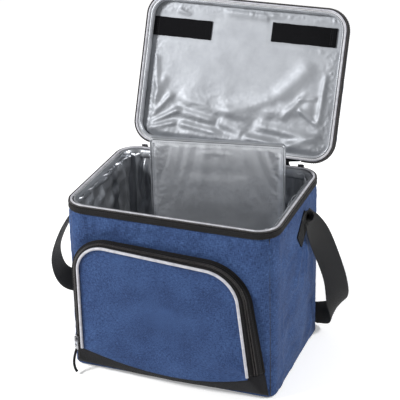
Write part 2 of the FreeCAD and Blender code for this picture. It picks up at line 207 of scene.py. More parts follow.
def grid(name, points, wrap_rows=False, wrap_columns=False, caps=False):
    """Mesh of quads over points[row][column], with a UV map in metres along the columns and rows."""
    points = np.asarray(points, float)
    index, faces = numbered(*points.shape[:2], wrap_rows, wrap_columns)
    if caps:
        ends = (index[0], index[-1]) if wrap_columns else (index[:, 0], index[:, -1])
        faces += [list(dict.fromkeys(end.tolist())) for end in ends]
    mesh = bpy.data.meshes.new(name)
    mesh.from_pydata((points.reshape(-1, 3) * MM).tolist(), [], faces)
    step = np.linalg.norm(np.diff(points, axis=1, append=points[:, :1]), axis=-1) * MM
    lift = np.linalg.norm(np.diff(points, axis=0, append=points[:1]), axis=-1) * MM
    u = np.concatenate([[0], np.cumsum(step.max(0))])
    v = np.concatenate([[0], np.cumsum(lift.max(1))])
    layer = mesh.uv_layers.new(name="cloth")
    r, c = np.meshgrid(np.arange(index.shape[0] - 1), np.arange(index.shape[1] - 1), indexing="ij")
    corner_u = np.stack([u[c], u[c + 1], u[c + 1], u[c]], -1).reshape(-1)
    corner_v = np.stack([v[r], v[r], v[r + 1], v[r + 1]], -1).reshape(-1)
    flat = np.zeros((len(mesh.loops), 2), np.float32)
    flat[: len(corner_u), 0] = corner_u
    flat[: len(corner_v), 1] = corner_v
    layer.data.foreach_set("uv", flat.ravel())
    return tidy(name, mesh)


def tidy(name, mesh):
    """Welds doubled points, turns every face outward, and makes the object."""
    work = bmesh.new()
    work.from_mesh(mesh)
    bmesh.ops.remove_doubles(work, verts=work.verts, dist=1e-6)
    bmesh.ops.dissolve_degenerate(work, edges=work.edges, dist=1e-7)
    bmesh.ops.recalc_face_normals(work, faces=work.faces)
    work.to_mesh(mesh)
    work.free()
    mesh.polygons.foreach_set("use_smooth", [True] * len(mesh.polygons))
    return placed(name, mesh)


def placed(name, data):
    obj = bpy.data.objects.new(name, data)
    bpy.context.scene.collection.objects.link(obj)
    return obj


def oval(width, height, count=12, square=3.0):
    """Section with soft corners, a superellipse."""
    turn = np.linspace(0, 2 * math.pi, count, endpoint=False)
    c, s = np.cos(turn), np.sin(turn)
    power = 2 / square
    return np.stack([width / 2 * np.sign(c) * abs(c) ** power, height / 2 * np.sign(s) * abs(s) ** power], -1)


def ribbon(centres, across, up, section):
    """Points of a section, (across, up) in mm, carried along centres. The section may vary by station."""
    section = np.broadcast_to(section, (len(centres),) + np.shape(section)[-2:])
    return centres[:, None] + across[:, None] * section[..., :1] + up[:, None] * section[..., 1:]


def swept(name, centres, across, up, section, closed=False):
    """Closed skin of a ribbon, with ends unless it runs round."""
    points = ribbon(centres, across, up, section)
    return grid(name, points, wrap_rows=closed, wrap_columns=True, caps=not closed)


def rim_sweep(section, z=0.0, offset=0.0, count=RIM_POINTS, gap=0.0):
    """Sweep round the rim's outline: the section's first axis points outward and its second up."""
    centres, out = rim_path(shares(count, gap), z, offset)
    return ribbon(centres, out, UP, section)


def ring(name, section, z, offset, count=RIM_POINTS, gap=0.0, lid=False):
    points = rim_sweep(section, z, offset, count, gap)
    return grid(name, opened(points) if lid else points, wrap_rows=gap == 0, wrap_columns=True, caps=gap > 0)


def coil(radius, count, turns):
    """Section list of a zip coil: a round cord that swells at each turn."""
    swell = 1 + 0.22 * np.sin(even(count) * turns * 2 * math.pi)
    return oval(2 * radius, 2 * radius, 6, 2.0)[None] * swell[:, None, None]


def stitched(name, path, out, lift=0.35):
    """Row of short raised threads along a path, all in one mesh."""
    pitch, length, thick, sunk = 3.4, 2.3, 0.55, 0.15
    reach = np.concatenate([[0], np.cumsum(np.linalg.norm(np.diff(path, axis=0), axis=1))])
    verts, faces = [], []
    for start in np.arange(pitch / 2, reach[-1] - length, pitch):
        ends = np.stack([np.interp((start, start + length), reach, path[:, k]) for k in range(3)], -1)
        normal = unit(out[min(int(np.searchsorted(reach, start)), len(out) - 1)])
        run = unit(ends[1] - ends[0])
        side = unit(np.cross(run, normal))
        base = len(verts)
        for share, size in ((0, 0.5), (0.2, 1), (0.8, 1), (1, 0.5)):
            centre = mix(ends[0], ends[1], share) + normal * (lift * size - sunk)
            for a, b in ((1, 0), (0, 1), (-1, 0), (0, -1)):
                verts.append((centre + (side * a + normal * b) * thick / 2 * size) * MM)
        for k in range(3):
            for q in range(4):
                a, b = base + 4 * k + q, base + 4 * k + (q + 1) % 4
                faces.append((a, b, b + 4, a + 4))
        faces.append(tuple(base + q for q in range(4)))
        faces.append(tuple(base + 12 + q for q in range(4)))
    mesh = bpy.data.meshes.new(name)
    mesh.from_pydata([tuple(v) for v in verts], [], faces)
    mesh.uv_layers.new(name="cloth")
    return tidy(name, mesh)


def draped(points, pins, pressure, growth, cap, frames, wrap_columns=False):
    """Lets pinned cloth settle from points[row][column], and keeps each point within cap of its start."""
    scene = bpy.context.scene
    _, quads = numbered(*points.shape[:2], False, wrap_columns)
    mesh = bpy.data.meshes.new("sheet")
    mesh.from_pydata((points.reshape(-1, 3) * MM).tolist(), [], quads)
    obj = placed("sheet", mesh)
    group = obj.vertex_groups.new(name="pin")
    for index, weight in enumerate(pins.ravel().tolist()):
        group.add([index], weight, "REPLACE")
    cloth = obj.modifiers.new("cloth", "CLOTH")
    settings = cloth.settings
    settings.quality = 5
    settings.mass = 0.2
    settings.vertex_group_mass = "pin"
    settings.tension_stiffness = settings.compression_stiffness = 20
    settings.shear_stiffness = 8
    settings.bending_stiffness = 0.15
    settings.shrink_min = -growth
    settings.use_pressure = True
    settings.uniform_pressure_force = pressure
    settings.effector_weights.gravity = 0
    cloth.point_cache.frame_start = 1
    cloth.point_cache.frame_end = frames
    for step in range(1, frames + 1):
        scene.frame_set(step)
    result = obj.evaluated_get(bpy.context.evaluated_depsgraph_get()).data
    settled = np.zeros(len(result.vertices) * 3)
    result.vertices.foreach_get("co", settled)
    move = settled.reshape(points.shape) / MM - points
    scene.frame_set(1)
    bpy.data.objects.remove(obj)
    far = np.linalg.norm(move, axis=-1, keepdims=True)
    return points + move * np.minimum(1, cap / np.maximum(far, 1e-6))


def finer(field, rows, columns, wrap=False):
    """Resamples field[row][column] to a grid of another size."""
    if wrap:
        field = np.concatenate([field, field[:, :1]], axis=1)
    r = np.linspace(0, field.shape[0] - 1, rows)
    c = np.linspace(0, field.shape[1] - 1, columns, endpoint=not wrap)
    r0, c0 = np.minimum(r.astype(int), field.shape[0] - 2), np.minimum(c.astype(int), field.shape[1] - 2)
    s, t = (r - r0)[:, None, None], (c - c0)[None, :, None]
    shape = field.reshape(field.shape[0], field.shape[1], -1)
    top = shape[r0][:, c0] * (1 - t) + shape[r0][:, c0 + 1] * t
    low = shape[r0 + 1][:, c0] * (1 - t) + shape[r0 + 1][:, c0 + 1] * t
    return (top * (1 - s) + low * s).reshape((rows, columns) + field.shape[2:])


# ---------------------------------------------------------------- materials
class Look:
    """A material under construction: shader, cloth coordinates and object coordinates in metres."""

    def __init__(self, name, **inputs):
        self.material = bpy.data.materials.new(name)
        self.material.use_nodes = True
        self.tree = self.material.node_tree
        self.shader = self.tree.nodes["Principled BSDF"]
        for key, value in inputs.items():
            self.shader.inputs[key.replace("_", " ")].default_value = value
        self.cloth = self.add("ShaderNodeUVMap", uv_map="cloth").outputs["UV"]
        self.space = self.add("ShaderNodeTexCoord").outputs["Object"]

    def add(self, kind, inputs=None, **settings):
        made = self.tree.nodes.new(kind)
        for key, value in settings.items():
            setattr(made, key, value)
        for key, value in (inputs or {}).items():
            if isinstance(value, bpy.types.NodeSocket):
                self.tree.links.new(value, made.inputs[key])
            else:
                made.inputs[key].default_value = value
        return made

    def calc(self, operation, a, b):
        return self.add("ShaderNodeMath", {0: a, 1: b}, operation=operation).outputs[0]

    def cloud(self, where, size, detail=3.0, stretch=(1, 1, 1)):
        """Noise with features of the given size in mm."""
        placed_at = self.add("ShaderNodeMapping", {"Vector": where, "Scale": stretch}).outputs[0]
        inputs = {"Vector": placed_at, "Scale": 1 / (size * MM), "Detail": detail}
        return self.add("ShaderNodeTexNoise", inputs).outputs[0]

    def bands(self, where, pitch, direction="X", distortion=0.0):
        """Even bands of the given pitch in mm."""
        inputs = {"Vector": where, "Scale": math.pi / (10 * pitch * MM), "Distortion": distortion}
        return self.add("ShaderNodeTexWave", inputs, bands_direction=direction).outputs["Fac"]

    def blend(self, *parts):
        """Sum of (value, share) pairs."""
        total = None
        for value, share in parts:
            scaled = self.calc("MULTIPLY", value, share)
            total = scaled if total is None else self.calc("ADD", total, scaled)
        return total

    def colours(self, factor, *stops):
        """Base colour from a ramp of (place, sRGB colour) stops."""
        ramp = self.add("ShaderNodeValToRGB", {0: factor})
        for _ in stops[2:]:
            ramp.color_ramp.elements.new(0.5)
        for element, (place, colour) in zip(ramp.color_ramp.elements, stops):
            element.position = place
            element.color = paint(colour)
        self.tree.links.new(ramp.outputs[0], self.shader.inputs["Base Color"])

    def roughness(self, factor, low, high):
        spread = self.add("ShaderNodeMapRange", {"Value": factor, "To Min": low, "To Max": high}).outputs[0]
        self.tree.links.new(spread, self.shader.inputs["Roughness"])

    def bumped(self, *layers):
        """The finished material, with layers of (height, depth in mm), each on top of the last."""
        normal = None
        for height, depth in layers:
            inputs = {"Height": height, "Distance": depth * MM, "Strength": 1.0}
            if normal is not None:
                inputs["Normal"] = normal
            normal = self.add("ShaderNodeBump", inputs).outputs[0]
        self.tree.links.new(normal, self.shader.inputs["Normal"])
        return self.material


def paint(colour):
    """sRGB 0 to 255 as linear colour with alpha."""
    return [((c / 255 + 0.055) / 1.055) ** 2.4 if c > 10 else c / 255 / 12.92 for c in colour] + [1.0]


def woven(name, dark, mid, light, pitch, fleck=1.6, on_cloth=True):
    """Plain-weave fabric of dyed yarns that differ a little from one to the next."""
    look = Look(name, Sheen_Weight=0.02, Sheen_Roughness=0.4, Specular_IOR_Level=0.2)
    where = look.cloth if on_cloth else look.space
    warp = look.bands(where, pitch, "X")
    weft = look.bands(where, pitch, "Y" if on_cloth else "Z")
    weave = look.calc("MULTIPLY", warp, weft)
    slub_across = look.cloud(where, fleck, 2.0, (0.35, 1.6, 0.35))
    slub_along = look.cloud(where, fleck, 2.0, (1.6, 0.35, 1.6))
    blotch = look.cloud(look.space, 38.0, 2.0)
    tone = look.blend((slub_across, 0.4), (slub_along, 0.4), (blotch, 0.2))
    look.colours(tone, (0.36, dark), (0.5, mid), (0.66, light))
    look.roughness(tone, 0.72, 0.9)
    return look.bumped((look.cloud(look.space, 9.0), 0.25), (weave, 0.12), (tone, 0.18))


def foil(name, dark, light, metal, gloss, crease):
    """Aluminised film: soft metal with fine crinkles pressed into it."""
    look = Look(name, Metallic=metal)
    broad = look.cloud(look.space, 30.0, 2.0)
    crinkle = look.cloud(look.space, 5.0, 4.0)
    grain = look.bands(look.cloth, 1.6, "DIAGONAL", 2.0)
    look.colours(broad, (0.3, dark), (0.7, light))
    look.roughness(crinkle, gloss, gloss + 0.16)
    return look.bumped((broad, 0.8 * crease), (crinkle, crease), (grain, 0.015))


def webbing(name, dark, light):
    """Ribbed tape: cords run along it, crossed by finer weft."""
    pitch = 1.3
    look = Look(name, Sheen_Weight=0.03, Sheen_Roughness=0.5)
    rib = look.bands(look.cloth, pitch, "X")
    weft = look.bands(look.cloth, pitch * 0.6, "Y", 0.4)
    fluff = look.cloud(look.space, 1.5, 3.0)
    look.colours(look.blend((fluff, 0.8), (rib, 0.2)), (0.3, dark), (0.75, light))
    look.roughness(fluff, 0.66, 0.84)
    return look.bumped((rib, 0.22), (weft, 0.1), (fluff, 0.1))


def moulded(name, dark, light, gloss, grain=0.6, metal=0.0, depth=0.05):
    """Moulded or cast surface with a fine grain and slightly worn tone."""
    look = Look(name, Metallic=metal)
    worn = look.cloud(look.space, 6.0, 4.0)
    fine = look.cloud(look.space, grain, 2.0)
    look.colours(worn, (0.35, dark), (0.65, light))
    look.roughness(worn, gloss, gloss + 0.12)
    return look.bumped((fine, depth))


def hooked(name):
    """Hook-and-loop tape: rows of tiny hooks with lint in them."""
    look = Look(name, Specular_IOR_Level=0.1)
    hooks = look.calc("MULTIPLY", look.bands(look.cloth, 1.2, "X"), look.bands(look.cloth, 1.0, "Y"))
    lint = look.cloud(look.space, 1.0, 3.0)
    look.colours(lint, (0.35, (9, 9, 11)), (0.8, (24, 24, 27)))
    look.roughness(lint, 0.85, 0.98)
    return look.bumped((hooks, 0.4), (lint, 0.2))


BLUE = woven("blue_fabric", (27, 43, 77), (45, 66, 106), (69, 95, 139), 1.1, fleck=2.2)
BLUE_FACE = woven("pocket_fabric", (26, 42, 76), (43, 64, 104), (67, 93, 137), 1.1, fleck=2.2)
BLACK = woven("black_fabric", (12, 12, 15), (19, 19, 22), (30, 30, 34), 0.9)
TAPE = woven("zip_tape", (14, 13, 14), (22, 21, 22), (34, 33, 34), 0.8)
GRIP = woven("grip_fabric", (12, 12, 14), (20, 20, 22), (30, 30, 32), 1.4)
PATCH_WEBBING = woven("patch_webbing", (12, 12, 14), (20, 20, 22), (32, 32, 34), 1.2, on_cloth=False)
CORD = woven("pull_cord", (12, 12, 14), (20, 20, 22), (32, 32, 34), 0.8, on_cloth=False)
WEBBING = webbing("black_webbing", (10, 10, 11), (26, 26, 27))
HOOKS = hooked("hook_tape")
LID_FOIL = foil("lid_foil", (146, 149, 154), (158, 161, 166), metal=0.7, gloss=0.5, crease=0.12)
SKIRT_FOIL = foil("skirt_foil", (166, 169, 174), (182, 185, 190), metal=0.6, gloss=0.36, crease=0.12)
COLLAR_FOIL = foil("collar_foil", (136, 139, 144), (164, 167, 172), metal=0.9, gloss=0.26, crease=0.1)
TUB_FOIL = foil("tub_foil", (150, 153, 158), (178, 181, 186), metal=0.8, gloss=0.26, crease=0.14)
DIVIDER_FOIL = foil("divider_foil", (230, 233, 238), (240, 243, 248), metal=0.93, gloss=0.32, crease=0.08)
EDGE_FOIL = foil("divider_edge_foil", (166, 169, 174), (188, 191, 196), metal=0.8, gloss=0.3, crease=0.16)
PIPING = moulded("grey_piping", (160, 160, 166), (184, 184, 190), 0.3, grain=1.2)
COIL = moulded("black_coil", (22, 18, 18), (38, 33, 32), 0.3)
BLACK_PLASTIC = moulded("black_plastic", (18, 18, 19), (28, 28, 30), 0.38)
STEEL = moulded("steel", (150, 150, 152), (190, 190, 192), 0.24, metal=0.95)
FOAM = moulded("white_foam", (224, 225, 226), (238, 238, 238), 0.7, grain=1.6, depth=0.4)
BLACK_THREAD = moulded("black_thread", (20, 20, 23), (34, 34, 38), 0.6)
GREY_THREAD = moulded("grey_thread", (120, 122, 128), (150, 152, 158), 0.55)
BLUE_THREAD = moulded("blue_thread", (26, 38, 70), (38, 54, 92), 0.6)


def wear(obj, look, body, slot, *nodes, soften=0):
    """Gives a piece its material, its body and the CAD nodes it stands for."""
    obj.data.materials.append(look)
    if soften:
        subdivide = obj.modifiers.new("soften", "SUBSURF")
        subdivide.levels = subdivide.render_levels = soften
    if nodes:
        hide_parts(*nodes)
    if body:
        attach(obj, body)


def bent(obj, look, slot, bodies, start, end, *nodes):
    """Gives cloth that crosses a joint its material and the CAD nodes it stands for, but no body, and bakes
    its placement into the mesh; bodies, start and end are not used.
    """
    wear(obj, look, None, slot, *nodes)
    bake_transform(obj)


def sewn(name, path, out, thread, body, slot, lift=0.35):
    """A row of stitches in its thread."""
    wear(stitched(name, path, out, lift), thread, body, slot)


# ---------------------------------------------------------------- body
# Folds of the side panels below a strap tail: start x, y, z, end x, y, z, width, height.
SIDE_FOLDS = [
    (164, 24, 204, 164, 8, 120, 7, 5.0), (164, 36, 214, 164, 34, 130, 8, 4.0),
    (164, 12, 198, 164, -26, 140, 7, 4.0), (164, 52, 226, 164, 74, 150, 9, 4.0),
    (164, 30, 205, 164, 21, 150, 5, -4.0),
]
# Slanting folds of the liner, in the same order.
TUB_FOLDS = [
    (-150, 92, 262, -150, 10, 205, 9, 5.0), (-150, 84, 250, -150, 30, 120, 8, 4.5),
    (-150, 70, 262, -150, -30, 238, 7, 4.0), (-150, 0, 262, -150, -46, 190, 9, 4.0),
    (-150, -40, 262, -150, -84, 214, 8, 4.0), (-132, 106, 258, -70, 106, 180, 8, 5.0),
    (-138, 106, 250, -110, 106, 90, 8, 4.5), (-100, 106, 264, -40, 106, 236, 7, 3.5),
    (60, 106, 262, 128, 106, 206, 9, 5.0), (150, 92, 262, 150, 40, 214, 10, 6.0),
    (150, 60, 264, 150, -10, 244, 9, 5.0), (150, 84, 230, 150, 60, 120, 9, 5.0),
    (150, 20, 262, 150, -40, 200, 9, 5.0), (150, -30, 264, 150, -88, 236, 8, 4.0),
]


def middle(points):
    """1 in the middle of each flat side, 0 at the corners."""
    x, y = points[..., 0], points[..., 1]
    flat_x, flat_y = RIM_W / 2 - RIM_CORNER, RIM_D / 2 - RIM_CORNER
    faces_x = abs(x) / RIM_W > abs(y) / RIM_D
    place = np.where(faces_x, y / flat_y, x / flat_x)
    return 1 - np.minimum(abs(place), 1) ** 2


def groove(points, start, end, width):
    """Closeness to a line from start to end: 1 on it, 0 beyond width, fading at its ends."""
    start, end = np.array(start, float), np.array(end, float)
    run = end - start
    t = ((points - start) @ run) / (run @ run)
    near = start + np.clip(t, 0, 1)[..., None] * run
    away = np.linalg.norm(points - near, axis=-1)
    return bell(away, width) * smooth(-0.05, 0.15, t) * (1 - smooth(0.8, 1.05, t))


def folded(points, folds):
    """Height of a list of folds, each given by its start, its end, a width and a height."""
    axes = points.shape[-1]
    return sum(tall * groove(points, line[:axes], line[axes:], wide) for *line, wide, tall in folds)


def right_half(points):
    """The points with the left half mirrored onto the right."""
    return joined(abs(points[..., 0]), points[..., 1], points[..., 2])


def bulge(rows, columns):
    """How far the padded walls swell once the cloth has settled."""
    rest, outward = wall_grid(44, 180, SHELL_TOP, SHELL_FOOT)
    at_corner = middle(rest) < 0.03
    swell = 2.6 * middle(rest) * np.sin(math.pi * (rest[..., 2] / BODY_H) ** 0.8)
    start = rest + outward * (0.9 + swell)[..., None]
    z = start[..., 2]
    pins = np.maximum(smooth(258, 266, z), 1 - smooth(8, 24, z))
    settled = draped(start, np.maximum(pins, 0.5 * at_corner), 0.6, 0.012, 4.5, 18, wrap_columns=True)
    return finer(np.sum((settled - rest) * outward, axis=-1), rows, columns, wrap=True)


def tucks(points):
    """Folds of the side panels: a level one from each strap tail to the front, the rest below the tail."""
    side_x, tail_y, level_z = 150, 13, 205
    x, y, z = abs(points[..., 0]), points[..., 1], points[..., 2]
    along = smooth(-90, -70, y) * smooth(20, 6, y) * (x > side_x)
    over = z - level_z - 0.03 * (y - tail_y)
    ledge = 5.5 * along * smooth(-1.2, 1.2, over) * np.exp(-np.maximum(over, 0) / 12)
    hollow = 1.2 * along * bell(over + 5, 6)
    return ledge - hollow + folded(right_half(points), SIDE_FOLDS)


def under_pocket(points):
    """1 where the pocket is sewn on and behind it, easing to 0 within a short distance outside it."""
    outline = np.vstack(pocket_outline(0.0))
    normals = outward_2d(outline, closed=True)
    front = points[..., 1] < -RIM_D / 2 + RIM_CORNER
    place = points[front][:, [0, 2]]
    beyond = np.max(place @ normals.T - np.sum(outline * normals, axis=1), axis=1)
    press = np.zeros(points.shape[:-1])
    press[front] = 1 - smooth(1.0, 11.0, beyond)
    return press


def behind_hinge(x, y):
    """1 on the stretch of the back where the lid's hinge is sewn."""
    return smooth(HINGE_W / 2 + 8, HINGE_W / 2, abs(x)) * (y > 0)


def seam_dips(count):
    """1 on each corner seam, over evenly spaced points of the way round."""
    way_round, seam_width = 1100, 1.8
    gaps = [abs((even(count) - corner + 0.5) % 1 - 0.5) * way_round for corner in corner_shares()]
    return np.max([bell(gap, seam_width) for gap in gaps], axis=0)[None, :]


def relief(rest):
    """How far each point of the walls stands off the flat wall."""
    slack, limit = 0.9, 8.0
    z = rest[..., 2]
    down = BODY_H - z
    flat = 0.2 + 0.8 * smooth(0.0, 0.45, middle(rest))
    gathers = np.exp(-down / 26) * smooth(0, 12, down) * (0.9 + 3.8 * rough(rest * [1, 1, 0.22], 9.0, 3))
    billows = 2.6 * rough(rest, 60.0, 5) * smooth(0, 40, down)
    dents = (1.4 + 1.6 * smooth(150, 230, z)) * rough(rest * [0.6, 0.6, 1.4], 28.0, 6)
    move = 0.6 * bulge(*rest.shape[:2]) + 1.2 + gathers + flat * billows + flat * dents + tucks(rest)
    tail = groove(right_half(rest), (164, 46, 241), (164, -2, 201), 21.0)
    under_tail = smooth(0.25, 0.6, tail)
    move += (3.2 * rough(rest * [1, 0.25, 0.25], 7.0, 7) + 1.5) * tail * (1 - under_tail)
    swing = np.hypot(rest[..., 1] - STRAP_AXIS_Y, z - STRAP_AXIS_Z)
    move *= 1 - 0.6 * smooth(62, 30, swing) * (abs(rest[..., 0]) > 150)
    move = slack + limit * np.tanh(np.maximum(move - slack, 0) / 7.0)
    move = mix(move, 0.35, seam_dips(rest.shape[1]))
    hinge = behind_hinge(rest[..., 0], rest[..., 1]) * smooth(246, 254, z)
    held = np.maximum(np.maximum(under_tail, hinge), under_pocket(rest))
    return mix(move, 0.05, held) * smooth(8, 22, down) + 0.3


def body_shell():
    """Padded walls: crowned panels between corner seams, puckered under the zip band, on a black base."""
    rows, columns = 140, 420
    rest, outward = wall_grid(rows, columns, SHELL_TOP, SHELL_FOOT)
    outer = rest + outward * relief(rest)[..., None]
    edge = ((1.0, -0.7), (0.2, -2.2), (0.0, -4.5))
    rounding = [wall(even(columns), height, out)[0] for height, out in edge]
    base = [rounding[-1] * [k, k, 1] for k in (0.93, 0.8, 0.6, 0.35, 0.0)]
    inner_base = [row + [0, 0, CLOTH] for row in reversed(base)]
    inner = outer[::-1] - outward[::-1] * CLOTH
    inner[..., 2] = np.maximum(inner[..., 2], CLOTH + 0.2)
    shell = grid("body_shell", np.stack([*outer, *rounding, *base, *inner_base, *inner]), True, True)
    wear(shell, BLUE, "root", "blue_fabric",
         "front_panel", "back_panel", "left_side_panel", "right_side_panel", "base_panel")
    shell.data.materials.append(BLACK)
    base_top = 2.4 * MM
    for face in shell.data.polygons:
        if face.center.z < base_top and abs(face.normal.z) > 0.8:
            face.material_index = 1
    # Thin black cords laid along each corner seam's groove are painted shade: a dark line standing in for the
    # shadow in the groove.
    for number, corner in enumerate(corner_shares(), 1):
        stations = [wall([corner], z, 0.75) for z in np.linspace(4, 264, 90)]
        path = np.stack([point[0] for point, _ in stations])
        out = np.stack([normal[0] for _, normal in stations])
        cord = swept("seam_shade_cord_%d" % number, path, out, unit(np.cross(out, UP)), oval(1.5, 1.3, 8, 2.0))
        wear(cord, BLACK_THREAD, "root", "black_fabric")


def corner_shares():
    """Shares of the way round at which the four corner seams stand."""
    _, _, total = around([0], RIM_W, RIM_D, RIM_CORNER)
    arc = RIM_CORNER * math.pi / 2
    half_w, full_d = RIM_W / 2 - RIM_CORNER, RIM_D - 2 * RIM_CORNER
    left = (half_w + arc / 2) / total
    front = (half_w + arc + full_d + arc / 2) / total
    return [left, front, 1 - front, 1 - left]


def rim_parts():
    """Zip band with its coil and light piping."""
    wear(ring("rim_band", oval(2.6, 10.4, 14, 5.0), 270.8, 1.5, gap=HINGE_W), TAPE, "root", "black_fabric",
         "rim_zip_tape", soften=1)
    section = coil(1.15, COIL_POINTS, COIL_TURNS)
    wear(ring("rim_coil", section, 277.0, 1.25, COIL_POINTS, HINGE_W), COIL, "root", "black_plastic",
         "rim_zip_coil")
    for number, height in enumerate((267.4, 274.2), 1):
        path, out = rim_path(shares(RIM_POINTS, HINGE_W), height, 2.85)
        sewn("rim_band_stitches_%d" % number, path, out, BLACK_THREAD, "root", "black_fabric")
    wear(ring("rim_welt", oval(3.6, 3.4, 12, 2.2), 277.2, -1.9), PIPING, "root", "grey_piping", "rim_piping")


# Sections of the liner's hem and of the lid's inner skirt: distance out from the rim's outline, and height.
HEM = [(-4.6, 276.6), (-5.6, 277.7), (-7.6, 277.4), (-9.6, 275.4), (-11.2, 271.6), (-12.2, 267.6),
       (-12.4, 264.0), (-11.6, 263.6), (-11.0, 267.4), (-10.0, 271.2), (-8.4, 274.2), (-6.6, 275.8)]
SKIRT = [(-4.2, 281.2), (-6.4, 280.6), (-8.2, 282.4), (-9.2, 286.0), (-9.0, 290.0), (-7.2, 293.0),
         (-6.6, 291.0), (-7.6, 287.0), (-6.8, 283.8), (-5.0, 282.6)]


def collar():
    """Hem of the liner: rolls in from the piping and hangs as a slightly wavy skirt with small pleats."""
    place, _ = rim_path(even(PLEAT_POINTS), 0.0)
    pleat = 0.4 * rough(place, 4.0, 11) + 0.9 * rough(place, 30.0, 12)
    dent = 3.0 * bell(place[:, 1] - 10, 22) * (place[:, 0] < -140)
    section = np.zeros((PLEAT_POINTS, len(HEM), 2))
    for k, (out, height) in enumerate(HEM):
        loose = float(smooth(277.0, 265.0, height))
        section[:, k, 0] = out - loose * (pleat + 0.8 + dent)
        section[:, k, 1] = height - loose * 0.5 * pleat - 0.5 * dent * loose
    hem = grid("liner_hem", rim_sweep(section, count=PLEAT_POINTS), True, True)
    wear(hem, COLLAR_FOIL, "root", "foil", "liner_collar", soften=1)
    path, out = rim_path(shares(RIM_POINTS), 268.2, -13.05)
    sewn("liner_hem_stitches", path, -out, GREY_THREAD, "root", "foil", lift=0.9)


def tub():
    """Foil liner: long upright pleats that fade towards the floor, gathered at the back left corner."""
    columns, film, gap = 420, 0.7, LINER_INSET + 0.2
    rest, outward = wall_grid(60, columns, BODY_H - 3, FLOOR_Z + 6, -gap)
    high = smooth(FLOOR_Z, BODY_H, rest[..., 2])
    gather = np.exp(-((rest[..., 0] + 135) / 38) ** 2 - ((rest[..., 1] - 90) / 40) ** 2)
    pleat = abs(rough(rest * [1, 1, 0.16], 24.0, 21, 2))
    fine = rough(rest * [1, 1, 0.5], 12.0, 22, 2)
    move = (1.5 + 6.5 * high) * (0.6 + 1.4 * gather) * pleat * 1.6 + 0.3 * fine * (0.3 + high)
    move += abs(rough(rest, 40.0, 23, 2)) * 2.5 + folded(rest, TUB_FOLDS)
    walls = rest - outward * np.clip(move, 0.05, 12.0)[..., None]
    foot = ((2.2, 1.0), (0.4, 3.2))
    bend = [wall(even(columns), FLOOR_Z + up, -LINER_INSET - inward)[0] for up, inward in foot]
    floor = [bend[-1] * [k, k, 1] for k in (0.94, 0.85, 0.72, 0.55, 0.35, 0.15, 0.0)]
    floor[1:] = [row + UP * 0.9 * abs(rough(row, 24.0, 24))[:, None] for row in floor[1:]]
    under = [row - [0, 0, film] for row in reversed(floor)]
    behind = walls[::-1] + outward[::-1] * film
    skin = grid("liner_tub", np.stack([*walls, *bend, *floor, *under, *behind]), True, True)
    wear(skin, TUB_FOIL, "root", "foil", "liner")


# ---------------------------------------------------------------- lid
# Long folds of the lid's foil: start x, y, end x, y, width, height. The hinge is at +y.
LID_FOLDS = [
    (-148, 98, -96, 82, 5, 4.0), (-146, 90, -92, 60, 5, 3.6), (-144, 80, -110, 36, 5, 3.0),
    (-140, 70, -136, 20, 6, 2.6), (-140, 56, -126, 8, 7, 2.2), (-96, 84, -20, 92, 6, 4.4),
    (-110, 62, -30, 76, 7, 3.8), (-100, 44, 30, 66, 10, 3.0), (-30, 74, 20, 88, 9, 4.0),
    (16, 92, 74, 98, 6, 4.4), (30, 72, 132, 84, 8, 3.6), (-24, 58, 66, 28, 10, 2.8),
    (62, 30, 116, -34, 13, 3.0), (40, 54, 128, 34, 9, 2.4), (74, 60, 112, 12, 5, 1.8),
    (100, 40, 134, 62, 4, 2.4), (96, 26, 130, 20, 4, 1.8), (134, 66, 138, -20, 5, 2.8),
    (-146, -22, -138, 34, 5, 2.6), (-118, -98, -96, -86, 5, 2.2), (-40, -100, 60, -97, 6, 1.6),
    (110, -100, 126, -50, 4, 1.8), (86, 100, 142, 78, 6, 3.6),
]
# Where the two hook strips press the foil flat: x from, to, y from, to.
STRIP_BEDS = [(-160, -54, -86, -50), (38, 150, -94, -58)]


def panel_grid(width, depth, radius, rows, columns):
    """Rectangle of points (x, y) whose corners are drawn in to a rounded outline."""
    x, y = np.meshgrid(np.linspace(-width / 2, width / 2, columns), np.linspace(-depth / 2, depth / 2, rows))
    over_x, over_y = abs(x) - (width / 2 - radius), abs(y) - (depth / 2 - radius)
    corner = (over_x > 0) & (over_y > 0)
    reach = np.hypot(over_x, over_y)
    scale = np.where(corner, np.maximum(over_x, over_y) / np.maximum(reach, 1e-9), 1)
    x = np.where(corner, np.sign(x) * (width / 2 - radius + over_x * scale), x)
    y = np.where(corner, np.sign(y) * (depth / 2 - radius + over_y * scale), y)
    return x, y


def lid_ceiling():
    """Foil that lines the lid, crumpled by the cloth solver, flat where the two strips are sewn to it."""
    inset = 6.4
    width, depth, radius = RIM_W - 2 * inset, RIM_D - 2 * inset, RIM_CORNER - inset
    rows, columns = 58, 84
    x, y = panel_grid(width, depth, radius, rows, columns)
    start = joined(x, y, CEILING_Z - 1.2)
    start[..., 2] -= 0.5 * abs(rough(start, 12.0, 31))
    pins = np.zeros((rows, columns))
    pins[[0, -1], :] = pins[:, [0, -1]] = 1
    strip_row = abs(y + 72)
    pins = np.maximum(pins, 0.4 * smooth(-60, -20, -strip_row) * (strip_row < 22))
    settled = draped(start, pins, -0.25, 0.022, 7.0, 24)
    rows, columns = 170, 240
    drop = finer((start - settled)[..., 2], rows, columns)
    x, y = panel_grid(width, depth, radius, rows, columns)
    border = np.minimum(width / 2 - abs(x), depth / 2 - abs(y))
    lower = joined(x, y, CEILING_Z - ceiling_drop(x, y, drop, border))
    upper = lower + [0, 0, 0.6]
    upper[..., 2] = np.minimum(upper[..., 2], CEILING_Z + 0.4)
    sheet = np.concatenate([lower, upper[::-1]])
    wear(grid("lid_lining", opened(sheet), wrap_rows=True), LID_FOIL, "lid", "foil", "lid_liner")


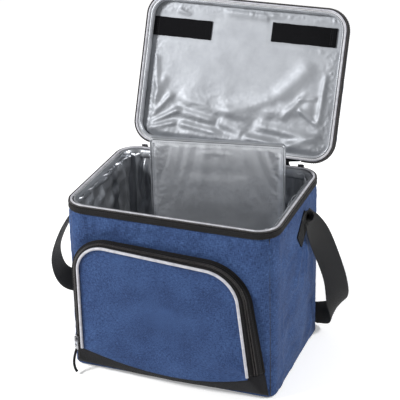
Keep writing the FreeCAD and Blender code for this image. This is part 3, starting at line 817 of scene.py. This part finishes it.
def ceiling_drop(x, y, drop, border):
    """How far the lid's foil hangs: settled cloth, long folds, fine crumples and a roll at the hinge."""
    flat = joined(x, y, 0)
    amount = np.clip(smooth(-10, 60, y) * 0.9 + 0.1 + 0.3 * smooth(70, 150, abs(x)), 0, 1)
    total = 0.3 * (drop - drop.min() * 0.2) * amount + folded(flat[..., :2], LID_FOLDS)
    total += 0.35 * rough(flat, 22.0, 33, 2) * amount + 0.5 * abs(rough(flat, 80.0, 34, 1))
    corner = np.hypot(np.maximum(abs(x) - 120, 0), np.maximum(abs(y) - 78, 0))
    total += smooth(8, 34, corner) * 1.2 * abs(rough(flat, 9.0, 35, 2))
    roll = 5.5 * bell(y - 100, 9) * smooth(160, 120, abs(x))
    total += roll * (0.75 + 0.25 * rough(flat, 40.0, 36))
    for x0, x1, y0, y1 in STRIP_BEDS:
        outside = np.maximum(np.maximum(x0 - x, x - x1), np.maximum(y0 - y, y - y1))
        total *= 1 - smooth(8, 0, outside)
    return np.clip(total, 0, 9.5) * smooth(0, 12, border) + 0.15


def lid_edge():
    """Pleated skirt inside the lid, its welt, zip band and coil."""
    place, _ = rim_path(even(PLEAT_POINTS), 0.0)
    pleat = 0.5 * rough(place, 4.5, 41) + 0.8 * rough(place, 26.0, 42)
    section = np.zeros((PLEAT_POINTS, len(SKIRT), 2))
    for k, (out, height) in enumerate(SKIRT):
        loose = math.sin(math.pi * np.clip((height - 280.4) / 13, 0, 1))
        section[:, k, 0] = out - loose * pleat
        section[:, k, 1] = height + 0.4 * loose * pleat
    skirt = grid("lid_skirt", opened(rim_sweep(section, count=PLEAT_POINTS)), True, True)
    wear(skirt, SKIRT_FOIL, "lid", "foil", soften=1)
    welt = ring("lid_welt", oval(3.2, 3.0, 12, 2.2), 280.6, -1.7, lid=True)
    wear(welt, PIPING, "lid", "grey_piping", "lid_piping")
    tape = ring("lid_band", oval(2.4, 11.0, 14, 5.0), 287.6, 1.3, gap=HINGE_W, lid=True)
    wear(tape, TAPE, "lid", "black_fabric", "lid_zip_tape", soften=1)
    section = coil(1.1, COIL_POINTS, COIL_TURNS)
    wear(ring("lid_coil", section, 280.5, 1.25, COIL_POINTS, HINGE_W, True), COIL, "lid", "black_plastic",
         "lid_zip_coil")
    share = shares(RIM_POINTS, HINGE_W)
    path, out = rim_path(share, 291.6, 2.55)
    sewn("lid_band_stitches", opened(path), opened_way(out), BLACK_THREAD, "lid", "black_fabric")
    path, _ = rim_path(share, 281.9, -6.6)
    sewn("lid_skirt_stitches", opened(path), opened_way(-UP), GREY_THREAD, "lid", "foil", lift=1.9)


# Rounded edge of the lid's cover: distance out from the rim's outline, and height.
COVER_EDGE = [(0.2, 282.4), (0.9, 286.0), (1.3, 291.0), (1.2, 296.0), (0.7, 299.6), (0.1, 301.8),
              (-1.2, 303.2), (-2.8, 303.7)]


def lid_cover():
    """Outer skin of the lid: side band, softly rounded edge and a slightly crowned top."""
    columns = 400
    base, out = rim_path(even(columns), 0.0)
    ripple = 0.8 * rough(base, 24.0, 51) + 0.3 * rough(base, 9.0, 52)
    free = 1 - behind_hinge(base[:, 0], base[:, 1])
    rows = []
    for k, (offset, height) in enumerate(COVER_EDGE):
        give = math.sin(math.pi * k / (len(COVER_EDGE) - 1))
        away = (offset + give * np.maximum(ripple, -0.5)) * free
        rows.append(base + out * away[:, None] + [0, 0, height])
    edge_row = rows[-1]
    for k in np.linspace(0.98, 0, 60):
        row = edge_row * [k, k, 1]
        dents = 1.2 * rough(row, 55.0, 53) * (1 - k) + 0.7 * abs(rough(row, 20.0, 54)) * (k > 0)
        crown = 3.0 * (1 - k ** 2) + dents
        patch = np.maximum(abs(abs(row[:, 0]) - 102) - 17, abs(row[:, 1]) - 15)
        row[:, 2] = mix(row[:, 2] + crown, LID_TOP + 0.05, smooth(16, 1, patch))
        rows.append(row)
    outer = np.stack(rows)
    inner = outer[::-1].copy()
    inner[..., 2] -= CLOTH * (inner[..., 2] > LID_TOP - 3)
    at_side = outer[::-1][..., 2] < LID_TOP - 1
    inner -= np.where(at_side[..., None], out[None] * CLOTH, 0)
    wear(grid("lid_cover", opened(np.concatenate([outer, inner])), True, True), BLUE, "lid", "blue_fabric",
         "lid_top_panel", "lid_side_band")
    inset = 4.5
    line, _, _ = around(even(columns), RIM_W - 2 * inset, RIM_D - 2 * inset, RIM_CORNER - inset)
    path = joined(line[:, 0], line[:, 1], LID_TOP + 1.15)
    sewn("lid_top_stitches_1", opened(path), opened_way(UP), BLUE_THREAD, "lid", "blue_fabric", lift=0.5)


def hook_strips():
    """Two hook-and-loop strips with slightly uneven edges, each sewn at its outer end."""
    stations, half_width, thickness = 48, 15, 1.5
    for side, sewn_x, free_x, low_y in (("left", -157, -58, -83), ("right", 147, 42, -91)):
        body = side + "_strip"
        x = np.linspace(sewn_x, free_x, stations)
        along = joined(x, 0, 0)
        middle_y = low_y + half_width + 0.5 * rough(along, 30.0, 61)
        centres = joined(x, middle_y, CEILING_Z - 1.3 - 0.3 * abs(np.sin(x / 19)))
        half = half_width + 0.35 * rough(along, 6.0, 62)
        size = np.stack([2 * half, np.full(stations, thickness)], -1)
        section = oval(1.0, 1.0, 24, 6.0) * size[:, None]
        points = ribbon(centres, BACKWARD, UP, section)
        tape = grid(side + "_hook_tape", opened(points), wrap_columns=True, caps=True)
        wear(tape, HOOKS, body, "black_fabric", side + "_hook_strip")
        for number, reach in enumerate((6.5, 9.5), 1):
            line_x = sewn_x + math.copysign(reach, free_x - sewn_x)
            line = joined(line_x, np.linspace(low_y + 2, low_y + 28, 30), CEILING_Z - 2.2)
            sewn("%s_hook_stitches_%d" % (side, number), opened(line), opened_way(-UP), BLACK_THREAD, body,
                 "black_fabric")


def hinge_sheet(path, slide, narrow, looseness):
    """Both faces of a length of hinge cloth along path (y, z), slid sideways and narrowed as it goes."""
    columns, half_thickness = 60, 0.6
    centres = joined(0, path[:, 0], path[:, 1])
    run = unit(np.gradient(path, axis=0))
    normal = joined(0, run[:, 1], -run[:, 0])
    x = np.linspace(-1, 1, columns)[None] * (HINGE_W / 2 - 3 - narrow)[:, None] + slide[:, None]
    sheets = []
    for lift in (half_thickness, -half_thickness):
        sheet = np.repeat((centres + normal * lift)[:, None], columns, axis=1)
        sheet[..., 0] = x
        ripple = 0.5 * rough(sheet * [1, 0, 0], 9.0, 71) * looseness[:, None]
        sheets.append(sheet + normal[:, None] * ripple[..., None])
    return np.concatenate([sheets[0], sheets[1][::-1]])


def hinge_cloth():
    """Fabric hinge in two curved lengths that meet on the hinge line, each lying across its own joint."""
    rise, narrowed, meeting = np.linspace(0, 1, 22), 10, 0.3
    path = spline([(118.9, 255), (118.9, 266), (119.0, 276), (119.9, 280), (120.7, 283.2)], len(rise))
    slide = smooth(0.6, 1.0, rise) * LID_SAG / 2
    points = hinge_sheet(path, slide, narrowed * smooth(0.55, 1, rise), bell(rise - 1, meeting))
    cloth = grid("hinge_cloth_lower", points, wrap_rows=True, caps=True)
    bent(cloth, BLACK, "black_fabric", ("root", "hinge"), (0, 119.0, 276.5), (0, 120.7, 283.0),
         "hinge_lower_flap", "hinge_fabric")
    path = spline([(120.7, 283.2), (121.4, 285.2), (123.4, 286.7), (128, 285.2), (134.6, 282.2)], len(rise))
    slide = LID_SAG / 2 + smooth(0, 0.4, rise) * LID_SAG / 2
    points = hinge_sheet(path, slide, narrowed * (1 - smooth(0, 0.45, rise)), bell(rise, meeting))
    cloth = grid("hinge_cloth_upper", points, wrap_rows=True, caps=True)
    bent(cloth, BLACK, "black_fabric", ("hinge", "lid"), (0, 120.9, 283.7), (0, 123.2, 286.5),
         "hinge_upper_flap")


# ---------------------------------------------------------------- front pocket
def fillet(before, corner, after, radius, count):
    """Points of the arc that rounds a corner."""
    before, corner, after = (np.array(p, float) for p in (before, corner, after))
    a, b = unit(before - corner), unit(after - corner)
    half = math.acos(float(a @ b)) / 2
    centre = corner + unit(a + b) * radius / math.sin(half)
    start, end = corner + a * radius / math.tan(half) - centre, corner + b * radius / math.tan(half) - centre
    full = math.pi - 2 * half
    turn = np.linspace(0, 1, count)[:, None] * full
    return centre + (start * np.sin(full - turn) + end * np.sin(turn)) / math.sin(full)


def pocket_outline(share, cut=ZIP_END_Z):
    """Arch and foot of the pocket's outline as (x, z), at a share of the way from the wall to its face."""
    left = mix(-155, POCKET_TAPER - 155, share)
    top_left, top_right = (left, mix(228, 225, share)), (mix(122, 111, share), mix(218, 210, share))
    low_right, low_left = (mix(156, 131, share), mix(5, 41, share)), (left, mix(5, 45, share))
    slope = (low_right[0] - top_right[0]) / (low_right[1] - top_right[1])
    right_end = (top_right[0] + slope * (cut - top_right[1]), cut)
    left_arc = fillet(low_left, top_left, top_right, mix(60, 42, share), 24)
    right_arc = fillet(top_left, top_right, low_right, mix(72, 53, share), 28)
    arch = np.vstack([np.linspace((left, cut), left_arc[0], 40)[:-1], left_arc,
                      np.linspace(left_arc[-1], right_arc[0], 30)[1:-1], right_arc,
                      np.linspace(right_arc[-1], right_end, 36)[1:]])
    lowest = np.array([mix(2, 7, share), mix(4, 22, share)])
    t = np.linspace(0, 1, 60)[:, None]
    control = 2 * lowest - 0.5 * (np.array(low_right) + np.array(low_left))
    curve = (1 - t) ** 2 * np.array(low_right) + 2 * t * (1 - t) * control + t ** 2 * np.array(low_left)
    foot = np.vstack([np.linspace(right_end, low_right, 9)[:-1], curve,
                      np.linspace(low_left, (left, cut), 9)[1:]])
    return arch, foot


def outward_2d(path, closed=False):
    """Normals of a clockwise path (x, z), pointing out of the shape it goes round."""
    run = unit(np.roll(path, -1, 0) - np.roll(path, 1, 0) if closed else np.gradient(path, axis=0))
    return np.stack([-run[:, 1], run[:, 0]], -1)


def front_y(z):
    """The body's front surface behind the pocket."""
    return -mix(BASE_D, RIM_D, np.clip(z, 0, BODY_H) / BODY_H) / 2


def band_point(share, path, lift):
    """Points of the slanted band: from the wall at share 0 to the pocket's face at share 1."""
    y = mix(POCKET_BACK_Y - POCKET_DEPTH * share, front_y(path[:, 1]) - 0.2, smooth(0.25, 0.0, share))
    out = path + outward_2d(path) * lift[:, None]
    return joined(out[:, 0], y, out[:, 1])


def band(part, first, last, steps, puff, ripple, size, seed):
    """Both faces of a stretch of the slanted band. Part 0 is the arch, 1 the foot."""
    rows = []
    for skin, order in ((0.3, 1), (-0.9, -1)):
        for share in np.linspace(first, last, steps)[::order]:
            path = pocket_outline(share)[part]
            swell = puff * math.sin(math.pi * (share - first) / (last - first))
            uneven = ripple * rough(joined(path[:, 0], path[:, 1], share * 20), size, seed)
            rows.append(band_point(share, path, skin + swell + uneven))
    return np.stack(rows)


def pocket():
    """Blue face with grey piping, slanted black gusset with its zip, and a black foot."""
    slit = 0.5 / POCKET_DEPTH
    for name, first, last in (("front", 0.5 + slit, 1.0), ("rear", 0.0, 0.5 - slit)):
        points = band(0, first, last, 8, 0.6, 0.25, 13.0, 81)
        wear(grid("pocket_band_" + name, points, wrap_rows=True, caps=True), TAPE, "root", "black_fabric",
             "pocket_zip_band_" + name)
    foot = grid("pocket_foot", band(1, 0.0, 1.0, 12, 1.6, 0.5, 22.0, 82), wrap_rows=True, caps=True)
    wear(foot, BLACK, "root", "black_fabric", "pocket_foot_band")
    pocket_zip()
    pocket_face()
    pocket_edges()


def slanted(share, lift, resample=None):
    """Path along the arch, standing off the slanted band, and its outward direction."""
    arch, _ = pocket_outline(share, ZIP_END_Z + 1)
    if resample:
        reach = np.concatenate([[0], np.cumsum(np.linalg.norm(np.diff(arch, axis=0), axis=1))])
        at = np.linspace(0, reach[-1], resample)
        arch = np.column_stack([np.interp(at, reach, arch[:, k]) for k in (0, 1)])
    normal = outward_2d(arch)
    slope = math.atan2(POCKET_DEPTH, POCKET_TAPER)
    out = joined(normal[:, 0] * math.sin(slope), -math.cos(slope), normal[:, 1] * math.sin(slope))
    return joined(arch[:, 0], POCKET_BACK_Y - POCKET_DEPTH * share, arch[:, 1]) + out * lift, out


def pocket_zip():
    """Two rows of coil side by side, and the stitching of the tapes."""
    count, turns = 1600, 380
    for name, side in (("front", 1), ("rear", -1)):
        path, out = slanted(0.5 + side * 1.15 / POCKET_DEPTH, 1.7, count)
        across = unit(np.cross(np.gradient(path, axis=0), out))
        wear(swept("pocket_coil_" + name, path, across, out, coil(1.1, count, turns)), COIL, "root",
             "black_plastic", "pocket_zip_coil_" + name)
        for number, away in enumerate((0.14, 0.33), 1):
            path, out = slanted(0.5 + side * away, 0.85, 260)
            sewn("pocket_tape_stitches_%s_%d" % (name, number), path, out, BLACK_THREAD, "root",
                 "black_fabric", lift=0.5)


def pocket_face():
    """Padded blue face, crowned by the foam inside."""
    arch, foot = pocket_outline(1.0)
    outline = np.vstack([arch, foot[1:-1]])
    centre = np.array([-8.0, 122.0])
    puckers = 1.3 * rough(joined(outline[:, 0], outline[:, 1], 0), 8.0, 85)
    rows = []
    for k in np.linspace(1, 0, 46):
        spread = centre + (outline - centre) * k
        dent = 1.6 * rough(joined(spread[:, 0], spread[:, 1], 0), 52.0, 84) * smooth(1.0, 0.8, k)
        crown = 5.0 * (1 - k ** 2.6) + dent + puckers * smooth(0.72, 0.95, k) * smooth(1.0, 0.95, k)
        rows.append(joined(spread[:, 0], POCKET_FACE_Y - crown, spread[:, 1]))
    front = np.stack(rows)
    back = front[::-1] + [0, CLOTH, 0]
    back[..., 1] = np.minimum(back[..., 1], POCKET_FACE_Y + 0.8)
    wear(grid("pocket_face", np.concatenate([front, back]), True, True), BLUE_FACE, "root", "blue_fabric",
         "pocket_panel")


def pocket_edges():
    """Piping round the arch of the face, stitches along it, and the seam where the band meets the wall."""
    path, _ = slanted(1.0, 0.0, 420)
    path[:, 1] -= 3.0
    across = unit(np.cross(np.gradient(path, axis=0), FORWARD))
    wear(swept("pocket_welt", path - across * 0.4, across, FORWARD, oval(4.4, 4.4, 12, 2.0)), PIPING, "root",
         "grey_piping", "pocket_piping")
    arch, _ = pocket_outline(1.0)
    seam = arch - outward_2d(arch) * 4.6
    line = joined(seam[:, 0], POCKET_FACE_Y - 2, seam[:, 1])
    sewn("pocket_face_stitches", line, FORWARD, BLUE_THREAD, "root", "blue_fabric", lift=0.5)
    arch, _ = pocket_outline(0.0)
    normal = outward_2d(arch)
    edge = joined(arch[:, 0], front_y(arch[:, 1]) - 0.6, arch[:, 1])
    across = joined(normal[:, 0], 0, normal[:, 1])
    wear(swept("pocket_seam", edge, across, FORWARD, oval(3.2, 3.4, 8, 2.4)), TAPE, "root", "black_fabric")


# ---------------------------------------------------------------- divider
def placed_divider(points):
    return turned(points, "Z", DIVIDER_YAW) + np.array([DIVIDER_X, DIVIDER_Y, 0])


def divider_face(side, seed, rows=130, columns=120):
    """One face of the divider's pad, at side -1 or 1, with soft folds that fan down from its top edge."""
    half, low, high = DIVIDER_W / 2, DIVIDER_TOP - DIVIDER_H, DIVIDER_TOP
    x, z = np.meshgrid(np.linspace(-half + 2, half - 2, columns), np.linspace(low + 2, high - 2, rows))
    flat = joined(x, side * 4.2, z)
    coarse = finer(flat, 44, 40)
    held = np.zeros(coarse.shape[:2])
    held[[0, -1], :] = held[:, [0, -1]] = 1
    settled = draped(coarse, held, 0.35, 0.012, 3.0, 18)
    sag = finer((settled - coarse)[..., 1], rows, columns) * side
    top = smooth(low + 0.45 * DIVIDER_H, high, z)
    folds = abs(rough(joined(x / (1 + 0.5 * (1 - top)), 0, z * 0.12), 22.0, seed))
    crinkle = abs(rough(joined(x, 0, z), 9.0, seed + 1, 3)) * smooth(70, 98, abs(x))
    swell = 9.0 * (1 - (x / half) ** 4) * smooth(0, 110, high - z) * smooth(0, 60, z - low) + 0.3
    border = smooth(0, 9, np.minimum(half - 2 - abs(x), np.minimum(z - low, high - z) - 2))
    dents = 0.3 * abs(rough(joined(x, 0, z), 40.0, seed + 2))
    lift = np.maximum(sag, 0) * 0.25 + 2.4 * folds * top + 0.9 * crinkle + swell + dents
    return joined(x, side * (4.15 + lift * border), z)


def divider():
    """Foil-covered pad with a bound edge and a row of stitches on each face."""
    points = np.concatenate([divider_face(-1, 91), divider_face(1, 92)[::-1]])
    skin = grid("divider_skin", placed_divider(points), wrap_rows=True, caps=True)
    wear(skin, DIVIDER_FOIL, "divider", "foil", "divider_front_sheet", "divider_back_sheet")
    mid_z = DIVIDER_TOP - DIVIDER_H / 2
    edge, normal, _ = around(even(300), DIVIDER_W - 3.2, DIVIDER_H - 3.2, 4.0)
    centres = joined(edge[:, 0], 0, edge[:, 1] + mid_z)
    wavy = 0.25 * rough(centres, 14.0, 95)
    out = turned(joined(normal[:, 0], 0, normal[:, 1]), "Z", DIVIDER_YAW)
    thick = turned(BACKWARD, "Z", DIVIDER_YAW)
    wear(swept("divider_edge", placed_divider(centres + BACKWARD * wavy[:, None]), out, thick,
               oval(3.4, 9.8, 14, 3.5), closed=True), EDGE_FOIL, "divider", "foil", "divider_binding")
    line, _, _ = around(np.arange(301) / 300, DIVIDER_W - 11, DIVIDER_H - 11, 4.0)
    for name, side in (("front", -1), ("back", 1)):
        path = joined(line[:, 0], side * 5.5, line[:, 1] + mid_z)
        sewn("divider_stitches_" + name, placed_divider(path), thick * side, GREY_THREAD, "divider", "foil",
             lift=0.2)


# ---------------------------------------------------------------- shoulder strap
# Centre of the webbing, then the direction across its width.
STRAP_STATIONS = [
    (168.7, 40, 236, 0, 1, 0), (175, 41, 226, 0.25, 0.9, 0.15), (184, 45, 205, 0.6, 0.65, 0.35),
    (191, 52, 180, 0.8, 0.35, 0.45), (198, 63, 149, 0.85, 0.15, 0.48), (203, 77, 114, 0.88, 0.08, 0.47),
    (203, 91, 79, 0.8, 0.2, 0.56), (195, 109, 41, 0.35, 0.56, 0.75), (164, 124, 22, 0, 0.1, 1),
    (120, 127, 21, 0, 0, 1), (-160, 127, 21, 0, 0, 1), (-225, 114, 21, 0, 0.1, 1),
    (-258, 92, 26, 0, 0.48, 0.87), (-270, 70, 50, 0, 0.85, 0.51), (-269, 52, 92, 0, 0.95, 0.32),
    (-256, 43, 130, 0, 0.99, 0.15), (-236, 40, 168, 0, 1, 0), (-205, 40, 212, 0, 1, 0),
    (-180, 40, 232, 0, 1, 0), (-168.7, 40, 236, 0, 1, 0),
]
# The short length that crosses the strap's joint at the right side.
ROOT_STATIONS = [
    (165.7, 27, 226, 0, 0.64, -0.77), (166.6, 34, 233.5, 0, 0.8, -0.6), (167.9, 38.6, 237.6, 0, 0.95, -0.3),
    (169.6, 40, 236.3, 0, 1, 0), (173.2, 40.6, 229.2, 0, 1, 0),
]


def band_frame(stations):
    """Centres, directions across the width and directions through the thickness of a band's stations."""
    centres, across = stations[:, :3], stations[:, 3:]
    run = unit(np.gradient(centres, axis=0))
    across = unit(across - run * np.sum(across * run, axis=1, keepdims=True))
    return centres, across, np.cross(run, across)


def strap():
    """Webbing that hangs outside both sides and runs along the floor behind the bag."""
    count = 420
    centres, across, thick = band_frame(spline(STRAP_STATIONS, count))
    section = oval(STRAP_W, STRAP_T, 28, 7.0)
    cup = (section[:, 0] / (STRAP_W / 2)) ** 2
    ends = smooth(0, 12, np.arange(count)) * smooth(0, 12, count - 1 - np.arange(count))
    wave = 0.5 * rough(centres, 60.0, 101) * ends
    points = ribbon(centres, across, thick, section) + thick[:, None] * (wave[:, None] * cup)[..., None]
    wear(grid("shoulder_webbing", points.transpose(1, 0, 2), wrap_rows=True, caps=True), WEBBING, "strap",
         "black_webbing", "shoulder_strap")
    for name, side in (("right", 1), ("left", -1)):
        centres, across, thick = band_frame(spline(ROOT_STATIONS, 36) * [side, 1, 1, 1, 1, 1])
        points = ribbon(centres, across, thick, section * [0.93, 1])
        bent(grid(name + "_strap_root", points.transpose(1, 0, 2), wrap_rows=True, caps=True), WEBBING,
             "black_webbing", ("root", "strap"), (side * 166.0, 40, 236), (side * 170.5, 40, 236))
        box_stitches(name, side)


def box_stitches(name, side):
    """Boxed cross of stitches that holds a strap tail to the side panel."""
    corners = [(-14, -42), (14, -42), (14, -16), (-14, -16), (-14, -42), (14, -16), (14, -42), (-14, -16)]
    out = np.array([[float(side), 0, 0]])
    for number, (a, b) in enumerate(zip(corners, corners[1:]), 1):
        line = turned(np.linspace((0, *a), (0, *b), 20), "X", -50)
        line = line + [side * 166.9, STRAP_AXIS_Y, STRAP_AXIS_Z]
        sewn("%s_tail_stitches_%d" % (name, number), line, out, BLACK_THREAD, "root", "black_webbing")


# ---------------------------------------------------------------- carry handle
def bowed(name, centres, up, section):
    """Length of the handle, made on the shut lid and opened with it."""
    points = ribbon(centres, BACKWARD, up, section)
    return grid(name, opened(points.transpose(1, 0, 2)), wrap_rows=True, caps=True)


def handle():
    """Webbing arch over the lid with a wrapped grip, and its two feet."""
    half = HANDLE_SPAN / 2
    radius = (half ** 2 + HANDLE_RISE ** 2) / (2 * HANDLE_RISE)
    size, centre_z = radius - 1.2, LID_TOP + 4.2 + HANDLE_RISE - radius

    def arch(angles):
        up = joined(np.sin(angles), 0, np.cos(angles))
        return up * size + [0, 0, centre_z], up

    reach = math.asin(half / radius) * 0.965
    wear(bowed("carry_handle_tape", *arch(np.linspace(-reach, reach, 90)), oval(HANDLE_W, HANDLE_T, 22, 6.0)),
         WEBBING, "handle", "black_webbing", "carry_handle_webbing")
    grip = math.asin(42 / radius)
    angles = np.linspace(-grip, grip, 70)
    plump = 1 + 0.03 * np.sin(angles * 26) + 0.02 * rough(joined(angles * 60, 0, 0), 9.0, 111)
    section = oval(1, 1, 26, 2.6)[None] * np.stack([30.5 * plump, 7.6 * plump], -1)[:, None]
    wear(bowed("carry_handle_wrap", *arch(angles), section), GRIP, "handle", "black_webbing",
         "carry_handle_grip")
    for name, side in (("left", -1), ("right", 1)):
        handle_foot(name, side)


def handle_foot(name, side):
    """The curved end of the handle's webbing where it rises from its patch, and the stitches round the patch.
    """
    stations = [(106, 0, 3.4), (96, 0, 3.5), (89, 0, 3.6), (84.5, 0, 5.2), (80.6, 0, 9.0)]
    centres = spline(stations, 34) * [side, 1, 1] + [0, 0, LID_TOP]
    up = np.cross(unit(np.gradient(centres, axis=0)), BACKWARD)
    foot = bowed(name + "_handle_foot", centres, up, oval(HANDLE_W - 0.4, 2.2, 22, 6.0))
    start, end = opened(np.array([[side * 92.0, 0, LID_TOP + 3.5], [side * 84.0, 0, LID_TOP + 6.0]]))
    bent(foot, WEBBING, "black_webbing", ("lid", "handle"), start, end)
    corners = np.array([(88, -11.5), (88, 11.5), (116, 11.5), (116, -11.5), (88, -11.5)]) * [side, 1]
    path = np.vstack([np.linspace(a, b, 14)[:-1] for a, b in zip(corners, corners[1:])])
    path = opened(joined(path[:, 0], path[:, 1], LID_TOP + 2.3))
    sewn(name + "_patch_stitches", path, opened_way(UP), BLACK_THREAD, "lid", "black_webbing", lift=0.4)


# ---------------------------------------------------------------- CAD pieces shown as they are
# Material, rounding of the edges in mm, and the pieces.
KEPT = [
    (FOAM, 0.0, ("base_foam", "front_foam", "back_foam", "left_foam", "right_foam", "lid_foam",
                 "lid_side_foam", "divider_foam")),
    (BLACK_PLASTIC, 0.3, ("base_board",)),
    (PATCH_WEBBING, 0.5, ("right_strap_tail", "left_strap_tail", "left_handle_patch", "right_handle_patch")),
    (CORD, 0.0, ("pocket_pull_cord",)),
    (STEEL, 0.35, ("pocket_zip_slider", "pocket_pull_tab", "right_main_zip_slider", "right_main_zip_pull",
                   "left_main_zip_slider", "left_main_zip_pull")),
    (BLACK_PLASTIC, 0.8, ("strap_adjuster",)),
]


def keep_cad():
    """Foam, board, patches, tails, sliders and pulls stay, with softened edges and their own materials."""
    for look, edge, names in KEPT:
        for name in names:
            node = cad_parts[name]
            node.data.materials.clear()
            node.data.materials.append(look)
            if edge:
                bevel = node.modifiers.new("softened", "BEVEL")
                bevel.width = edge * MM
                bevel.segments = 2
                bevel.limit_method = "ANGLE"


# ---------------------------------------------------------------- surroundings
def surroundings():
    """Pale floor, white surround and soft studio lamps."""
    bpy.ops.mesh.primitive_plane_add(size=60, location=(0, 0, -0.0012))
    floor = bpy.context.object
    floor.name = "floor"
    look = Look("floor", Roughness=0.9, Base_Color=paint((252, 252, 252)), Emission_Color=(1, 1, 1, 1))
    look.shader.inputs["Emission Strength"].default_value = 0.3
    floor.data.materials.append(look.material)
    world = bpy.data.worlds.new("studio")
    bpy.context.scene.world = world
    world.use_nodes = True
    background = world.node_tree.nodes["Background"]
    background.inputs[0].default_value = (1.0, 1.0, 1.0, 1)
    seen = world.node_tree.nodes.new("ShaderNodeLightPath").outputs["Is Camera Ray"]
    strength = world.node_tree.nodes.new("ShaderNodeMapRange")
    strength.inputs["To Min"].default_value = 0.3
    world.node_tree.links.new(seen, strength.inputs["Value"])
    world.node_tree.links.new(strength.outputs[0], background.inputs[1])
    lamps = [("key", (-1.7, -1.4, 1.7), (0, 0, 0.15), 0.6, 74),
             ("side", (1.7, 0.2, 1.7), (0, 0, 0.15), 0.45, 34),
             ("back", (-0.6, 2.2, 1.3), (0, 0, 0.2), 1.4, 4)]
    for name, place, target, size, power in lamps:
        data = bpy.data.lights.new(name, "AREA")
        data.shape = "DISK"
        data.size = size
        data.energy = power
        lamp = placed(name, data)
        lamp.location = place
        lamp.rotation_euler = (Vector(target) - Vector(place)).to_track_quat("-Z", "Y").to_euler()


def camera():
    """Three-quarter view from the right and above, slightly rolled."""
    azimuth, elevation, roll = math.radians(21.07), math.radians(25.13), math.radians(-1.18)
    back = Vector((math.sin(azimuth) * math.cos(elevation), -math.cos(azimuth) * math.cos(elevation),
                   math.sin(elevation)))
    right = Vector((math.cos(azimuth), math.sin(azimuth), 0))
    up = back.cross(right)
    right, up = right * math.cos(roll) + up * math.sin(roll), up * math.cos(roll) - right * math.sin(roll)
    distance, aside, above = 2.324, 0.0036, 0.2307
    data = bpy.data.cameras.new("camera")
    data.sensor_width = 36
    data.lens = 130.9
    view = placed("camera", data)
    turn = Matrix((right, up, back)).transposed().to_4x4()
    view.matrix_world = Matrix.Translation(back * distance + right * aside + up * above) @ turn
    bpy.context.scene.camera = view


body_shell()
rim_parts()
collar()
tub()
lid_ceiling()
lid_edge()
lid_cover()
hook_strips()
hinge_cloth()
pocket()
divider()
strap()
handle()
keep_cad()
surroundings()
camera()
bpy.context.scene.view_settings.view_transform = "Standard"
